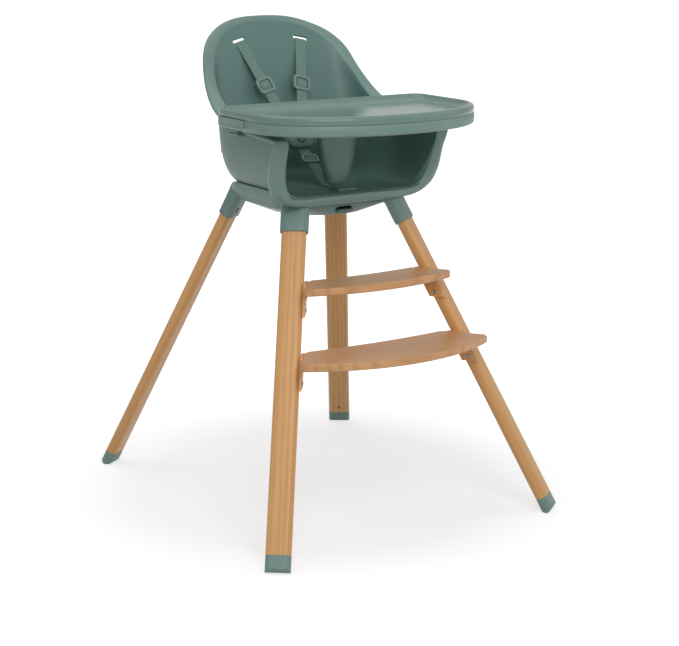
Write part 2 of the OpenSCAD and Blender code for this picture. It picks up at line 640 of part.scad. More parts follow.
module tray_base() {
    color(green) difference() {
        union() {
            difference() {
                tray_slab(0, tray_z, tray_z + tray_base_h);
                tray_slab(tray_wall, tray_z + tray_wall, tray_z + 60);
            }
            for (sx = [-1, 1]) {
                translate([sx * (rail_x + rail_t / 2), latch_y, tray_z - 3]) cube([rail_t, 60, 8], center = true);
                translate([sx * 24, post_y, tray_z]) cylinder(r = 6, h = 9);
            }
        }
        for (sx = [-1, 1]) {
            translate([sx * tray_half_w, 0, 0]) rotate([90, 0, 90]) translate([0, 0, -10]) linear_extrude(20)
                latch_face(slide_gap, 5);
            translate([sx * (latch_x - latch_proud / 2), latch_y, tray_z - 1]) linear_extrude(tray_wall + 2)
                rounded_rect(10 + latch_proud + 2 * slide_gap, 24 + 2 * slide_gap, 3);
            translate([sx * 24, post_y, tray_z - 1]) cylinder(r = 1.6, h = 7);
        }
    }
}

module tray_insert() {
    floor_top = insert_z + insert_floor_h;
    color(green) difference() {
        union() {
            difference() {
                tray_slab(0, insert_z, insert_top_z);
                tray_slab(16, insert_z - 1, insert_top_z + 1);
            }
            tray_slab(3, floor_top - 2.5, floor_top);
        }
        tray_slab(tray_wall, insert_z - 1, floor_top - 2.5);
        tray_slab(7, floor_top + 5, insert_top_z + 1);
    }
}

post_top_z = tray_z - rest_gap;
post_end_z = floor_z + post_floor_gap;
module post_slice(w, d, z) {
    translate([0, post_y, z]) linear_extrude(0.5) scale([1, 1, 1])
        polygon([for (k = [0:hull_fn - 1]) let (a = 360 * k / hull_fn, c = cos(a), s = sin(a))
            [w / 2 * sign(c) * pow(abs(c), 0.8), d / 2 * sign(s) * pow(abs(s), 0.8)]]);
}
module post_form(shrink, top, end) {
    height = post_top_z - post_end_z;
    mid_w = post_end_w + (post_top_w - post_end_w) * 0.62;
    hull() {
        post_slice(post_top_w - 2 * shrink, post_d - 2 * shrink, top - 0.5);
        post_slice(mid_w - 2 * shrink, post_d - 1 - 2 * shrink, post_end_z + height * 0.4);
        post_slice(post_end_w + 4 - 2 * shrink, post_d - 8 - 2 * shrink, post_end_z + 9);
        post_slice(post_end_w - 10 - 2 * shrink, post_d - 16 - 2 * shrink, end);
    }
}
module crotch_post() {
    color(green) difference() {
        union() {
            difference() {
                post_form(0, post_top_z, post_end_z);
                post_form(3, post_top_z + 1, post_end_z + 3);
            }
            for (sx = [-1, 1]) translate([sx * 24, post_y, post_top_z - 14]) cylinder(r = 5, h = 14);
            translate([-post_top_w / 2 + 2.2, post_y - 1.5, post_top_z - 14]) cube([post_top_w - 4.4, 3, 12]);
        }
        for (sx = [-1, 1]) translate([sx * 24, post_y, post_top_z - 10]) cylinder(r = 1.6, h = 20);
    }
}
module post_screws() {
    color(steel) for (sx = [-1, 1]) translate([sx * 24, post_y, tray_z + 9]) mirror([0, 0, 1])
        translate([0, 0, 3]) rotate_extrude() polygon([[0, 0], [1.5, 0], [1.5, 14], [0, 14]]);
}

module tray_latch(sx) {
    color(green) mirror([sx < 0 ? 1 : 0, 0, 0]) {
        intersection() {
            difference() {
                tray_slab(-latch_proud, tray_z, tray_z + 40);
                tray_slab(tray_wall + rest_gap + 2, tray_z - 1, tray_z + 41);
            }
            translate([tray_half_w, 0, 0]) rotate([90, 0, 90]) translate([0, 0, -10]) linear_extrude(20)
                latch_face(0, 0);
        }
        // keeper behind the wall, arm, stem and finger plate
        translate([tray_half_w - tray_wall - rest_gap - 4, latch_front_y + 16, tray_z + tray_wall + rest_gap + 0.4])
            cube([4, latch_rear_y - latch_front_y - 34, tray_base_h - tray_wall - 2]);
        translate([latch_x - 5, latch_y - 12, tray_z + tray_wall + rest_gap + 0.4])
            cube([tray_half_w - tray_wall - latch_x + 4, 24, 5]);
        translate([latch_x, latch_y, latch_low_z + 3]) linear_extrude(tray_z + tray_wall + 5 - latch_low_z - 3)
            rounded_rect(10, 24, 2.5);
        translate([latch_x, latch_y, latch_low_z]) linear_extrude(4) rounded_rect(18, 36, 4);
    }
}

// ---- harness ----
harness_tilt = atan2(slot_z - buckle_z, slot_y - buckle_y);
module on_harness() { translate([0, buckle_y, buckle_z]) rotate([harness_tilt, 0, 0]) children(); }
slot_run = norm([slot_y - buckle_y, slot_z - buckle_z]);
shoulder_foot = [12, buckle_h / 2 - 3];
shoulder_vec = [slot_x, slot_run] - shoulder_foot;
shoulder_len = norm(shoulder_vec);
shoulder_lean = atan2(shoulder_vec.x, shoulder_vec.y);
// A shoulder strap's own frame: Y up the strap from its loop, Z out of the chest
module on_shoulder(sx) {
    on_harness() mirror([sx < 0 ? 1 : 0, 0, 0]) translate([shoulder_foot.x, shoulder_foot.y, 0])
        rotate([0, 0, -shoulder_lean]) children();
}

// The strap starts in the buckle's pocket and turns back through the slot to its keeper behind the seat
strap_out = 18;
module shoulder_strap(sx) {
    color(green) on_shoulder(sx) translate([-web_w / 2, 0, 0]) rotate([90, 0, 90]) linear_extrude(web_w)
        strip([[0, 0], [shoulder_len, 0], [shoulder_len + 1.5, -strap_out]], web_t);
}
keeper_from = 9.5;
module shoulder_anchor(sx) {
    color(dark_green) on_shoulder(sx) translate([0, shoulder_len + 1, -keeper_from - 2]) difference() {
        cube([web_w + 12, 12, 4], center = true);
        cube([web_w + 2 * rest_gap, web_t + 2 * rest_gap + 0.8, 20], center = true);
    }
}

slider_place = 103;
module slider(w, h) {
    // end bars lie over the webbing, the middle bar under it
    rail = 5;
    over = web_t / 2 + rest_gap;
    for (sx = [-1, 1]) translate([sx * (w / 2 + rest_gap + rail / 2), 0, 0]) cube([rail, h, 2 * (over + slider_t / 2)], center = true);
    for (sy = [-1, 1]) translate([0, sy * (h / 2 - 2), over + slider_t / 4]) cube([w + 2 * rail, 4, slider_t / 2], center = true);
    translate([0, 0, -over - slider_t / 4]) cube([w + 2 * rail, 5, slider_t / 2], center = true);
}
module shoulder_slider(sx) {
    color(green) on_shoulder(sx) translate([0, slider_place, 0]) slider(web_w, slider_h);
}

// A waist strap's own frame: X out along the strap from the buckle's middle, Y across it, Z out of the belly
module on_waist(sx) {
    on_harness() mirror([sx < 0 ? 1 : 0, 0, 0]) rotate([0, 0, waist_rise]) children();
}
pocket_x = 12;
blade_w = 12;
shoulder_x = buckle_w / 2 + 3.5;
eye_x = shoulder_x + 4;
bar_x = eye_x + tongue_travel + 3.5;
bar_t = 3;
waist_bend = [bar_x + 24, 0];
waist_fall = 46;
waist_exit = 75;
waist_keeper_out = 13.5;
waist_end = waist_exit + waist_keeper_out + 4;
module waist_run_frame() {
    translate([waist_bend.x, 0, 0]) rotate([0, waist_fall, 0]) translate([waist_exit, 0, 0]) children();
}

module strap_pockets() {
    room = web_t + 2 * rest_gap;
    for (sx = [0, 1]) mirror([sx, 0, 0]) {
        rotate([0, 0, waist_rise]) translate([pocket_x, -blade_w / 2 - slide_gap, -1.5 - slide_gap])
            cube([40, blade_w + 2 * slide_gap, 3 + 2 * slide_gap]);
        translate([shoulder_foot.x, shoulder_foot.y, 0]) rotate([0, 0, -shoulder_lean])
            translate([-web_w / 2 - rest_gap, -rest_gap, -room / 2]) cube([web_w + 2 * rest_gap, 30, room]);
    }
    translate([-web_w / 2 - rest_gap, -buckle_h / 2 - 10, -room / 2]) cube([web_w + 2 * rest_gap, 10 + crotch_in + rest_gap, room]);
    translate([0, 0, -2]) cylinder(r = button_r + slide_gap, h = 20);
}
module buckle_body() {
    color(green) on_harness() difference() {
        linear_extrude(buckle_t / 2) rounded_rect(buckle_w, buckle_h, 12);
        strap_pockets();
    }
}
module buckle_back() {
    color(dark_green) on_harness() difference() {
        translate([0, 0, -buckle_t / 2]) linear_extrude(buckle_t / 2) rounded_rect(buckle_w, buckle_h, 12);
        strap_pockets();
    }
}
module buckle_button() {
    color(dark_green) on_harness() translate([0, 0, -2 + rest_gap + button_travel])
        cylinder(r = button_r, h = buckle_t / 2 + 2.3);
}
module buckle_tongue(sx) {
    color(green) on_waist(sx) {
        translate([pocket_x + 0.5, -blade_w / 2, -1.5]) cube([shoulder_x - pocket_x, blade_w, 3]);
        difference() {
            translate([shoulder_x, -web_w / 2 - 4, -1.5]) cube([bar_x + bar_t - shoulder_x, web_w + 8, 3]);
            translate([eye_x, -web_w / 2 - 1, -5]) cube([bar_x - eye_x, web_w + 2, 10]);
        }
    }
}
// The strap's end loops round the tongue's bar with slack for the tongue's travel
module waist_strap(sx) {
    rise = 1.5 + rest_gap + web_t / 2;
    near = bar_x - rest_gap - web_t / 2;
    far = bar_x + bar_t + tongue_travel + 2.5;
    path = [waist_bend + waist_end * [cos(waist_fall), -sin(waist_fall)], waist_bend, [far + 4.5, 0],
        [far + 0.8, rise], [near, rise], [near, -rise], [far + 0.8, -rise], [far + 1.4, -0.6]];
    color(green) on_waist(sx) translate([0, web_w / 2, 0]) rotate([90, 0, 0]) linear_extrude(web_w) strip(path, web_t);
}
module waist_anchor(sx) {
    color(dark_green) on_waist(sx) waist_run_frame() translate([waist_keeper_out, 0, 0]) difference() {
        cube([4, web_w + 12, 7], center = true);
        cube([20, web_w + 2 * rest_gap, web_t + 2 * rest_gap], center = true);
    }
}

crotch_in = 8;
down_strap = [-cos(harness_tilt), -sin(harness_tilt)];
crotch_top = [buckle_y, buckle_z] + down_strap * (buckle_h / 2 - crotch_in);
crotch_out = [buckle_y, buckle_z] + down_strap * (buckle_h / 2 + 1);
crotch_low = [4, 631];
floor_run_y = -34;
crotch_end_y = -106;
web_floor_z = floor_z + rest_gap + web_t / 2;
module crotch_strap() {
    path = [crotch_top, crotch_out, crotch_low, [floor_run_y, web_floor_z + 1.2], [floor_run_y - 10, web_floor_z], [crotch_end_y, web_floor_z]];
    color(green) translate([-web_w / 2, 0, 0]) rotate([90, 0, 90]) linear_extrude(web_w) strip(path, web_t);
}
crotch_tilt = atan2(crotch_out.y - crotch_low.y, crotch_out.x - crotch_low.x);
module crotch_slider() {
    color(green) translate([0, (crotch_out.x + crotch_low.x) / 2, (crotch_out.y + crotch_low.y) / 2])
        rotate([crotch_tilt, 0, 0]) slider(web_w, 18);
}
module crotch_anchor() {
    color(green) difference() {
        translate([-web_w / 2 - 8, crotch_end_y - 4, floor_z + rest_gap]) cube([web_w + 16, 10, web_t + 2.2]);
        translate([-web_w / 2 - rest_gap, crotch_end_y - rest_gap, floor_z - 1]) cube([web_w + 2 * rest_gap, 20, web_t + 1 + 2 * rest_gap]);
        for (sx = [-1, 1]) translate([sx * (web_w / 2 + 4.5), crotch_end_y + 1, floor_z - 1]) cylinder(r = 1.6, h = 10);
    }
}
module crotch_anchor_screws() {
    color(steel) for (sx = [-1, 1]) translate([sx * (web_w / 2 + 4.5), crotch_end_y + 1, floor_z + rest_gap + 0.1])
        cylinder(r = 1.5, h = web_t + 2.6);
}

leg_hub();
hub_cover();
cover_screws();
release_paddle();
release_spring();
leg(-1, -1);  // leg_front_right
leg(1, -1);  // leg_front_left
leg(-1, 1);  // leg_rear_right
leg(1, 1);  // leg_rear_left
foot_cap(-1, -1);  // foot_cap_front_right
foot_cap(1, -1);  // foot_cap_front_left
foot_cap(-1, 1);  // foot_cap_rear_right
foot_cap(1, 1);  // foot_cap_rear_left
leg_bolts();
leg_inserts();
upper_step();
lower_step();
cleat(-1, upper_step_z);  // upper_cleat_right
cleat(1, upper_step_z);  // upper_cleat_left
cleat(-1, lower_step_z);  // lower_cleat_right
cleat(1, lower_step_z);  // lower_cleat_left
step_screws();
seat_shell();
seat_mount_plate();
seat_mount_screws();
tray_base();
tray_insert();
crotch_post();
post_screws();
tray_latch(-1);  // tray_latch_right
tray_latch(1);  // tray_latch_left
shoulder_strap(-1);  // shoulder_strap_right
shoulder_strap(1);  // shoulder_strap_left
shoulder_anchor(-1);  // shoulder_anchor_right
shoulder_anchor(1);  // shoulder_anchor_left
shoulder_slider(-1);  // shoulder_slider_right
shoulder_slider(1);  // shoulder_slider_left
buckle_body();
buckle_back();
buckle_button();
buckle_tongue(-1);  // buckle_tongue_right
buckle_tongue(1);  // buckle_tongue_left
waist_strap(-1);  // waist_strap_right
waist_strap(1);  // waist_strap_left
waist_anchor(-1);  // waist_anchor_right
waist_anchor(1);  // waist_anchor_left
crotch_strap();
crotch_slider();
crotch_anchor();
crotch_anchor_screws();
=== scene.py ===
"""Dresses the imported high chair: moulded shells, grained wood, woven webbing, small hardware and a plain studio."""

import logging
import math
from dataclasses import dataclass
from enum import Enum
from typing import Callable, Iterable, Sequence

import bmesh
import bpy
from mathutils import Matrix, Vector
from mathutils.bvhtree import BVHTree


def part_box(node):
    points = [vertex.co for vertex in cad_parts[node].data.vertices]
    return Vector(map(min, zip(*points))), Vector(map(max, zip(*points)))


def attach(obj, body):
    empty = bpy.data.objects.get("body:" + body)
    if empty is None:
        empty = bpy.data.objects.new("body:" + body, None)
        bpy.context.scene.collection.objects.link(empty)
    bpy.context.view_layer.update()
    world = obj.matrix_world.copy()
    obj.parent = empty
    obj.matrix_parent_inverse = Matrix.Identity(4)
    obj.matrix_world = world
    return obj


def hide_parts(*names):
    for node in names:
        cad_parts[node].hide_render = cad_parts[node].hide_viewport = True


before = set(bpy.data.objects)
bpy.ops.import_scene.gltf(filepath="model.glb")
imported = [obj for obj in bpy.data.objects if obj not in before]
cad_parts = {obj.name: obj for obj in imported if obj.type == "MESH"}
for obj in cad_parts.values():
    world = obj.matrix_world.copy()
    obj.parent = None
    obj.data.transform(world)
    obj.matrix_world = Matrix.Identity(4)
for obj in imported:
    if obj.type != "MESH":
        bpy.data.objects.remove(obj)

LOG = logging.getLogger("high_chair")
MM = 0.001
MERGE = 0.00001
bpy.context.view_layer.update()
SIDES = (("right", -1), ("left", 1))
HOME = Matrix()
Piece = bpy.types.Object
Socket = bpy.types.NodeSocket
Ring = list[Vector]
Box = tuple[tuple[float, float, float], tuple[float, float, float]]


# ---- small sums ----
def clamp01(value: float) -> float:
    """Limits a number to the range from 0 to 1."""
    return min(1.0, max(0.0, value))


def smooth(value: float) -> float:
    """A smooth step from 0 to 1."""
    t = clamp01(value)
    return t * t * (3 - 2 * t)


def catmull(a: Vector, b: Vector, c: Vector, d: Vector, t: float) -> Vector:
    """A point between b and c on the smooth curve through a, b, c and d."""
    return 0.5 * (2 * b + (c - a) * t + (2 * a - 5 * b + 4 * c - d) * t * t + (3 * b - a - 3 * c + d) * t ** 3)


def flipped(p: Vector) -> Vector:
    """The point mirrored to the chair's other side."""
    return Vector((-p.x, p.y, p.z))


def around(count: int, point: Callable[[float, float], Sequence[float]], phase: float = 0.0) -> Ring:
    """Points round a full turn, each made from the cosine and sine of its angle."""
    turns = (math.tau * (k + phase) / count for k in range(count))
    return [Vector(point(math.cos(a), math.sin(a))) for a in turns]


def disc(radius: float, height: float, count: int, phase: float = 0.0) -> Ring:
    """A round ring of points at a height."""
    return around(count, lambda c, s: (radius * c, radius * s, height), phase)


def oblong(half_x: float, half_y: float, height: float, power: float, count: int) -> Ring:
    """A ring of points between an oval and a box.

    Args:
        half_x: half its width.
        half_y: half its length.
        height: the height that it lies at.
        power: 2 for an oval, and more for squarer corners.
        count: the number of points.
    Returns:
        The ring.
    """
    def point(c: float, s: float) -> Sequence[float]:
        """The ring's point in one direction."""
        reach = (abs(c / half_x) ** power + abs(s / half_y) ** power) ** (-1 / power)
        return reach * c, reach * s, height
    return around(count, point, 0.5)


def filleted(route: Sequence[Vector], radius: float, steps: int = 6, stride: float = 12.0) -> Ring:
    """A route with rounded corners and points along its straights.

    Args:
        route: the corner points.
        radius: the rounding at each corner, less where a straight is short.
        steps: the points over each rounding.
        stride: the longest straight without a point.
    Returns:
        The points of the rounded route.
    """
    points = [route[0]]
    for before, here, after in zip(route, route[1:], route[2:]):
        r = min(radius, (here - before).length * 0.45, (after - here).length * 0.45)
        a, b = here + (before - here).normalized() * r, here + (after - here).normalized() * r
        for k in range(steps + 1):
            t = k / steps
            points.append(a * (1 - t) ** 2 + here * 2 * t * (1 - t) + b * t * t)
    points.append(route[-1])
    dense = [points[0]]
    for p in points[1:]:
        start = dense[-1]
        gap = (p - start).length
        if gap >= 1e-4:
            pieces = max(1, math.ceil(gap / stride))
            dense += [start + (p - start) * (k / pieces) for k in range(1, pieces + 1)]
    return dense


def turned(x: float = 0, y: float = 0, z: float = 0) -> Matrix:
    """A turn of x, then y, then z degrees about the fixed axes."""
    return (Matrix.Rotation(math.radians(z), 4, "Z") @ Matrix.Rotation(math.radians(y), 4, "Y")
            @ Matrix.Rotation(math.radians(x), 4, "X"))


def moved(x: float, y: float, z: float) -> Matrix:
    """A shift in millimetres."""
    return Matrix.Translation(Vector((x, y, z)) * MM)


def mirrored(sx: int) -> Matrix:
    """Nothing for the child's left, and a mirror across the middle for the right."""
    return Matrix.Diagonal((sx, 1, 1, 1))


# ---- finishes ----
class Slot(Enum):
    """The record's material slots."""

    GREEN = "moulded_green"
    DARK = "dark_green"
    LEG = "leg_wood"
    STEP = "step_wood"
    WEBBING = "webbing"
    STEEL = "steel"


def linear(tone: Sequence[float], share: float = 1.0) -> tuple[float, float, float, float]:
    """Turns a display colour into a linear colour.

    Args:
        tone: red, green and blue from 0 to 255.
        share: lightens or darkens the tone first.
    Returns:
        The linear colour with an alpha of 1.
    """
    def channel(v: float) -> float:
        """One channel's linear value."""
        v *= share / 255.0
        return v / 12.92 if v <= 0.04045 else ((v + 0.055) / 1.055) ** 2.4
    return (*[channel(v) for v in tone], 1.0)


class Graph:
    """A short way to write the nodes of a material or a world."""

    def __init__(self, owner: bpy.types.ID, shader: str = "BsdfPrincipled", output: str = "OutputMaterial") -> None:
        """Clears the owner's nodes and joins a shader to its output.

        Args:
            owner: the material or the world.
            shader: the kind of shader.
            output: the kind of output.
        """
        owner.use_nodes = True
        self.owner, self.tree = owner, owner.node_tree
        self.tree.nodes.clear()
        self.shader = self.add(shader)
        self.add(output, Surface=self.shader.outputs[0])

    def add(self, kind: str, **values: object) -> bpy.types.Node:
        """Adds a shader node; a value goes to its property or else its input socket of that name.

        Args:
            kind: the node's kind, without its usual first word.
            values: the properties and inputs to set or link.
        Returns:
            The node.
        """
        node = self.tree.nodes.new(f"ShaderNode{kind}")
        for key, value in values.items():
            if hasattr(node, key):
                setattr(node, key, value)
            else:
                self.feed(node.inputs[key.replace("_", " ")], value)
        return node

    def feed(self, socket: Socket, value: object) -> None:
        """Links an input to a socket, or sets its value.

        Args:
            socket: the input.
            value: a socket or a plain value.
        """
        if isinstance(value, Socket):
            self.tree.links.new(value, socket)
        else:
            socket.default_value = value

    def finish(self, **values: object) -> bpy.types.ID:
        """Sets or links the shader's inputs and returns the material or world.

        Args:
            values: the inputs by name, with _ for a space.
        Returns:
            The material or the world.
        """
        for key, value in values.items():
            self.feed(self.shader.inputs[key.replace("_", " ")], value)
        return self.owner

    def place(self, attribute: str = "", scale: Sequence[float] = (1, 1, 1)) -> Socket:
        """Scaled coordinates from the object, or from a piece's own attribute.

        Args:
            attribute: the attribute's name, or none for Object coordinates.
            scale: the scale along each axis.
        Returns:
            The socket that gives the scaled coordinates.
        """
        if attribute == "UV":
            source = self.add("UVMap", uv_map="UVMap").outputs["UV"]
        elif attribute:
            source = self.add("Attribute", attribute_name=attribute).outputs["Vector"]
        else:
            source = self.add("TexCoord").outputs["Object"]
        return self.add("Mapping", Scale=scale, Vector=source).outputs["Vector"]

    def noise(self, at: Socket, scale: float, detail: float = 2.0,
              twist: float = 0.0) -> Socket:
        """Noise from 0 to 1 at the given coordinates."""
        return self.add("TexNoise", Scale=scale, Detail=detail, Distortion=twist, Vector=at).outputs["Fac"]

    def spread(self, value: Socket, low: float, high: float, to_low: float = 0.0,
               to_high: float = 1.0) -> Socket:
        """Maps a value from one range to another."""
        return self.add("MapRange", Value=value, From_Min=low, From_Max=high, To_Min=to_low,
                        To_Max=to_high).outputs["Result"]

    def math(self, operation: str, a: object, b: object = 0.0) -> Socket:
        """One step of arithmetic on sockets or numbers.

        Args:
            operation: the step, by Blender's name.
            a: the first socket or number.
            b: the second.
        Returns:
            The socket that gives the result.
        """
        node = self.add("Math", operation=operation)
        for socket, value in zip(node.inputs, (a, b)):
            self.feed(socket, value)
        return node.outputs["Value"]

    def blend(self, share: Socket, a: object, b: object) -> Socket:
        """Mixes two colours, each a socket or a linear colour.

        Args:
            share: how much of the second colour there is.
            a: the first colour.
            b: the second colour.
        Returns:
            The socket that gives the colour.
        """
        node = self.add("Mix", data_type="RGBA")
        self.feed(node.inputs["Factor"], share)
        for socket, value in zip([s for s in node.inputs if s.type == "RGBA"], (a, b)):
            self.feed(socket, value)
        return [s for s in node.outputs if s.type == "RGBA"][0]

    def bump(self, height: Socket, distance: float, strength: float,
             under: Socket | None = None) -> Socket:
        """A bump of the given height in metres, laid over another bump if there is one.

        Args:
            height: the socket that gives the height.
            distance: what a height of 1 stands for, in metres.
            strength: its strength from 0 to 1.
            under: the bump that lies under it.
        Returns:
            The socket that gives the normal.
        """
        node = self.add("Bump", Strength=strength, Distance=distance, Height=height)
        if under is not None:
            self.feed(node.inputs["Normal"], under)
        return node.outputs["Normal"]


@dataclass(frozen=True)
class MouldedPlastic:
    """Satin moulded plastic with a fine spark-eroded grain, and a darker tone where a mask marks its walls: partly
    the matt texture's own tone, partly painted shade.
    """

    name: str
    tone: tuple[int, int, int]
    roughness: float = 0.42
    grain: float = 0.00003
    specular: float = 0.5
    mottle: float = 0.025
    scales: tuple[float, float, float] = (9, 420, 1500)
    matt: str = ""
    # painted shade: each channel's share of the tone on the masked walls, partly matt texture and partly the shade
    # that falls there
    matt_and_shade_shares: tuple[float, float, float] = (0.81, 0.875, 0.87)

    def build(self) -> bpy.types.Material:
        """Makes the material.

        Returns:
            The material.
        """
        g = Graph(bpy.data.materials.new(self.name))
        at = g.place()
        cloud, coarse, fine = (g.noise(at, scale, detail) for scale, detail in zip(self.scales, (3, 2, 2)))
        dark, light = (linear(self.tone, 1 + change) for change in (-self.mottle, self.mottle))
        colour = g.blend(g.spread(cloud, 0.35, 0.65), dark, light)
        # painted shade: where the mask is set, the colour darkens to the walls' tone, partly matt texture and partly
        # painted shade
        if self.matt:
            share = g.add("Attribute", attribute_name=self.matt).outputs["Fac"]
            colour = g.blend(share, colour, linear([c * k for c, k in zip(self.tone, self.matt_and_shade_shares)]))
        rough = g.spread(coarse, 0.3, 0.7, self.roughness - 0.04, self.roughness + 0.05)
        pits = g.bump(fine, self.grain, 0.8, g.bump(coarse, self.grain * 1.4, 0.5))
        return g.finish(Base_Color=colour, Roughness=rough, Normal=pits, Specular_IOR_Level=self.specular)


@dataclass(frozen=True)
class VarnishedWood:
    """Straight-grained wood under clear satin varnish, along the piece's own grain attribute."""

    name: str
    light: tuple[int, int, int]
    dark: tuple[int, int, int]
    fleck: tuple[int, int, int]
    roughness: float = 0.40
    stretch: float = 0.045
    pore_stretch: float = 0.02
    relief: float = 0.00004
    ring_share: float = 0.42
    streak_share: float = 0.55
    pore_share: float = 0.45

    def build(self) -> bpy.types.Material:
        """Makes the material.

        Returns:
            The material.
        """
        g = Graph(bpy.data.materials.new(self.name))
        along = g.place("grain", (1, 1, self.stretch))
        drift, streak = g.noise(along, 26, 2, 0.6), g.noise(along, 210, 5, 0.35)
        rings = g.add("TexWave", wave_type="BANDS", bands_direction="Y", Scale=34.0, Distortion=5.5, Detail=2.5,
                      Detail_Scale=0.8, Vector=along).outputs["Fac"]
        marks = g.spread(g.noise(g.place("grain", (1, 1, self.pore_stretch)), 1500), 0.64, 0.76)
        deep = linear(self.dark, 0.9)
        base = g.blend(g.spread(drift, 0.3, 0.72), linear(self.light), linear(self.dark))
        base = g.blend(g.math("MULTIPLY", g.spread(rings, 0.45, 1.0), self.ring_share), base, deep)
        base = g.blend(g.math("MULTIPLY", g.spread(streak, 0.52, 0.8), self.streak_share), base, deep)
        base = g.blend(g.math("MULTIPLY", marks, self.pore_share), base, linear(self.fleck))
        rough = g.spread(streak, 0.3, 0.8, self.roughness - 0.05, self.roughness + 0.08)
        pores = g.bump(g.math("MULTIPLY", marks, -1.0), self.relief, 0.6, g.bump(streak, self.relief, 0.7))
        return g.finish(Base_Color=base, Roughness=rough, Normal=pores, Coat_Weight=0.15, Coat_Roughness=0.3)


@dataclass(frozen=True)
class Webbing:
    """Woven strap: ribs along the strap crossed by a finer weft, on the piece's own UV map in metres."""

    name: str
    tone: tuple[int, int, int]
    rib: float = 0.0014
    weft: float = 0.0009
    relief: float = 0.00022

    def build(self) -> bpy.types.Material:
        """Makes the material.

        Returns:
            The material.
        """
        g = Graph(bpy.data.materials.new(self.name))
        at = g.place("UV")
        split = g.add("SeparateXYZ", Vector=at).outputs
        warp = g.math("SINE", g.math("MULTIPLY", split["X"], math.tau / self.rib))
        lean = g.math("ADD", g.math("MULTIPLY", split["Y"], math.tau / self.weft), g.math("MULTIPLY", warp, 1.2))
        weave = g.math("MULTIPLY", g.math("ADD", warp, g.math("SINE", lean)), 0.5)
        woven = g.blend(g.spread(weave, -0.9, 0.8), linear(self.tone, 0.72), linear(self.tone, 1.12))
        wear = g.math("MULTIPLY", g.spread(g.noise(at, 240, 3), 0.35, 0.7), 0.25)
        return g.finish(Base_Color=g.blend(wear, woven, linear(self.tone)), Roughness=0.78,
                        Normal=g.bump(weave, self.relief, 0.9), Sheen_Weight=0.25, Sheen_Roughness=0.45)


@dataclass(frozen=True)
class PlatedSteel:
    """Zinc-plated steel with a faint crystal bloom and fine turning marks."""

    name: str
    tone: tuple[int, int, int]

    def build(self) -> bpy.types.Material:
        """Makes the material.

        Returns:
            The material.
        """
        g = Graph(bpy.data.materials.new(self.name))
        at = g.place()
        bloom = g.blend(g.noise(at, 700, 3), linear(self.tone, 0.86), linear(self.tone))
        return g.finish(Base_Color=bloom, Roughness=g.spread(g.noise(at, 2600), 0.3, 0.7, 0.26, 0.42),
                        Normal=g.bump(g.noise(at, 3200), 0.00001, 0.5), Metallic=1.0)


@dataclass(frozen=True)
class Thread:
    """Twisted sewing thread."""

    name: str
    tone: tuple[int, int, int]

    def build(self) -> bpy.types.Material:
        """Makes the material.

        Returns:
            The material.
        """
        g = Graph(bpy.data.materials.new(self.name))
        twist = g.noise(g.place(), 5200)
        colour = g.blend(g.spread(twist, 0.35, 0.65), linear(self.tone, 0.8), linear(self.tone))
        return g.finish(Base_Color=colour, Normal=g.bump(twist, 0.00008, 0.8), Roughness=0.7)


@dataclass(frozen=True)
class Finish:
    """A material with the record's slot that it belongs to."""

    slot: Slot
    material: bpy.types.Material


class Finishes:
    """Every finish on the chair, each made once."""

    def __init__(self) -> None:
        """Makes the materials."""
        sage = (124, 153, 146)
        self.green = Finish(Slot.GREEN, MouldedPlastic("sage_plastic", sage).build())
        # painted shade: the shell's walls take a darker tone while the rim stays lighter
        self.shell = Finish(Slot.GREEN, MouldedPlastic("shell_plastic", sage, matt="matt").build())
        self.tray = Finish(Slot.GREEN, MouldedPlastic("tray_plastic", (120, 149, 142), roughness=0.15,
                                                      grain=0.000002, specular=0.36).build())
        self.dark = Finish(Slot.DARK, MouldedPlastic("deep_sage_plastic", (98, 121, 114), roughness=0.5).build())
        leg = VarnishedWood("beech_leg", (243, 186, 119), (226, 165, 99), (166, 108, 60))
        step = VarnishedWood("beech_step", (232, 177, 121), (212, 154, 100), (148, 98, 60))
        self.leg, self.step = Finish(Slot.LEG, leg.build()), Finish(Slot.STEP, step.build())
        self.webbing = Finish(Slot.WEBBING, Webbing("woven_webbing", (124, 158, 149)).build())
        self.thread = Finish(Slot.WEBBING, Thread("sewing_thread", (134, 158, 150)).build())
        self.steel = Finish(Slot.STEEL, PlatedSteel("zinc_plate", (142, 144, 141)).build())
        self.painted = Finish(Slot.STEEL, MouldedPlastic("painted_steel", (84, 108, 101), roughness=0.5).build())


# ---- making pieces ----
def add_object(name: str, mesh: bpy.types.Mesh) -> Piece:
    """Links a mesh into the scene as a new object at the origin.

    Args:
        name: the object's name.
        mesh: its mesh.
    Returns:
        The new object.
    """
    piece = bpy.data.objects.new(name, mesh)
    bpy.context.scene.collection.objects.link(piece)
    return piece


def shade(mesh: bpy.types.Mesh, angle: float) -> None:
    """Shades a mesh smooth, apart from edges sharper than an angle in degrees."""
    mesh.polygons.foreach_set("use_smooth", [True] * len(mesh.polygons))
    mesh.set_sharp_from_angle(angle=math.radians(angle))


def from_bmesh(name: str, bm: bmesh.types.BMesh, angle: float = 40.0) -> Piece:
    """Turns a bmesh into a smooth-shaded object.

    Args:
        name: the object's name.
        bm: the mesh, which is freed.
        angle: edges sharper than this many degrees stay sharp.
    Returns:
        The new object.
    """
    mesh = bpy.data.meshes.new(name)
    bm.to_mesh(mesh)
    bm.free()
    shade(mesh, angle)
    return add_object(name, mesh)


def outward(bm: bmesh.types.BMesh) -> bmesh.types.BMesh:
    """Turns a closed bmesh's faces outwards."""
    bmesh.ops.recalc_face_normals(bm, faces=bm.faces)
    return bm


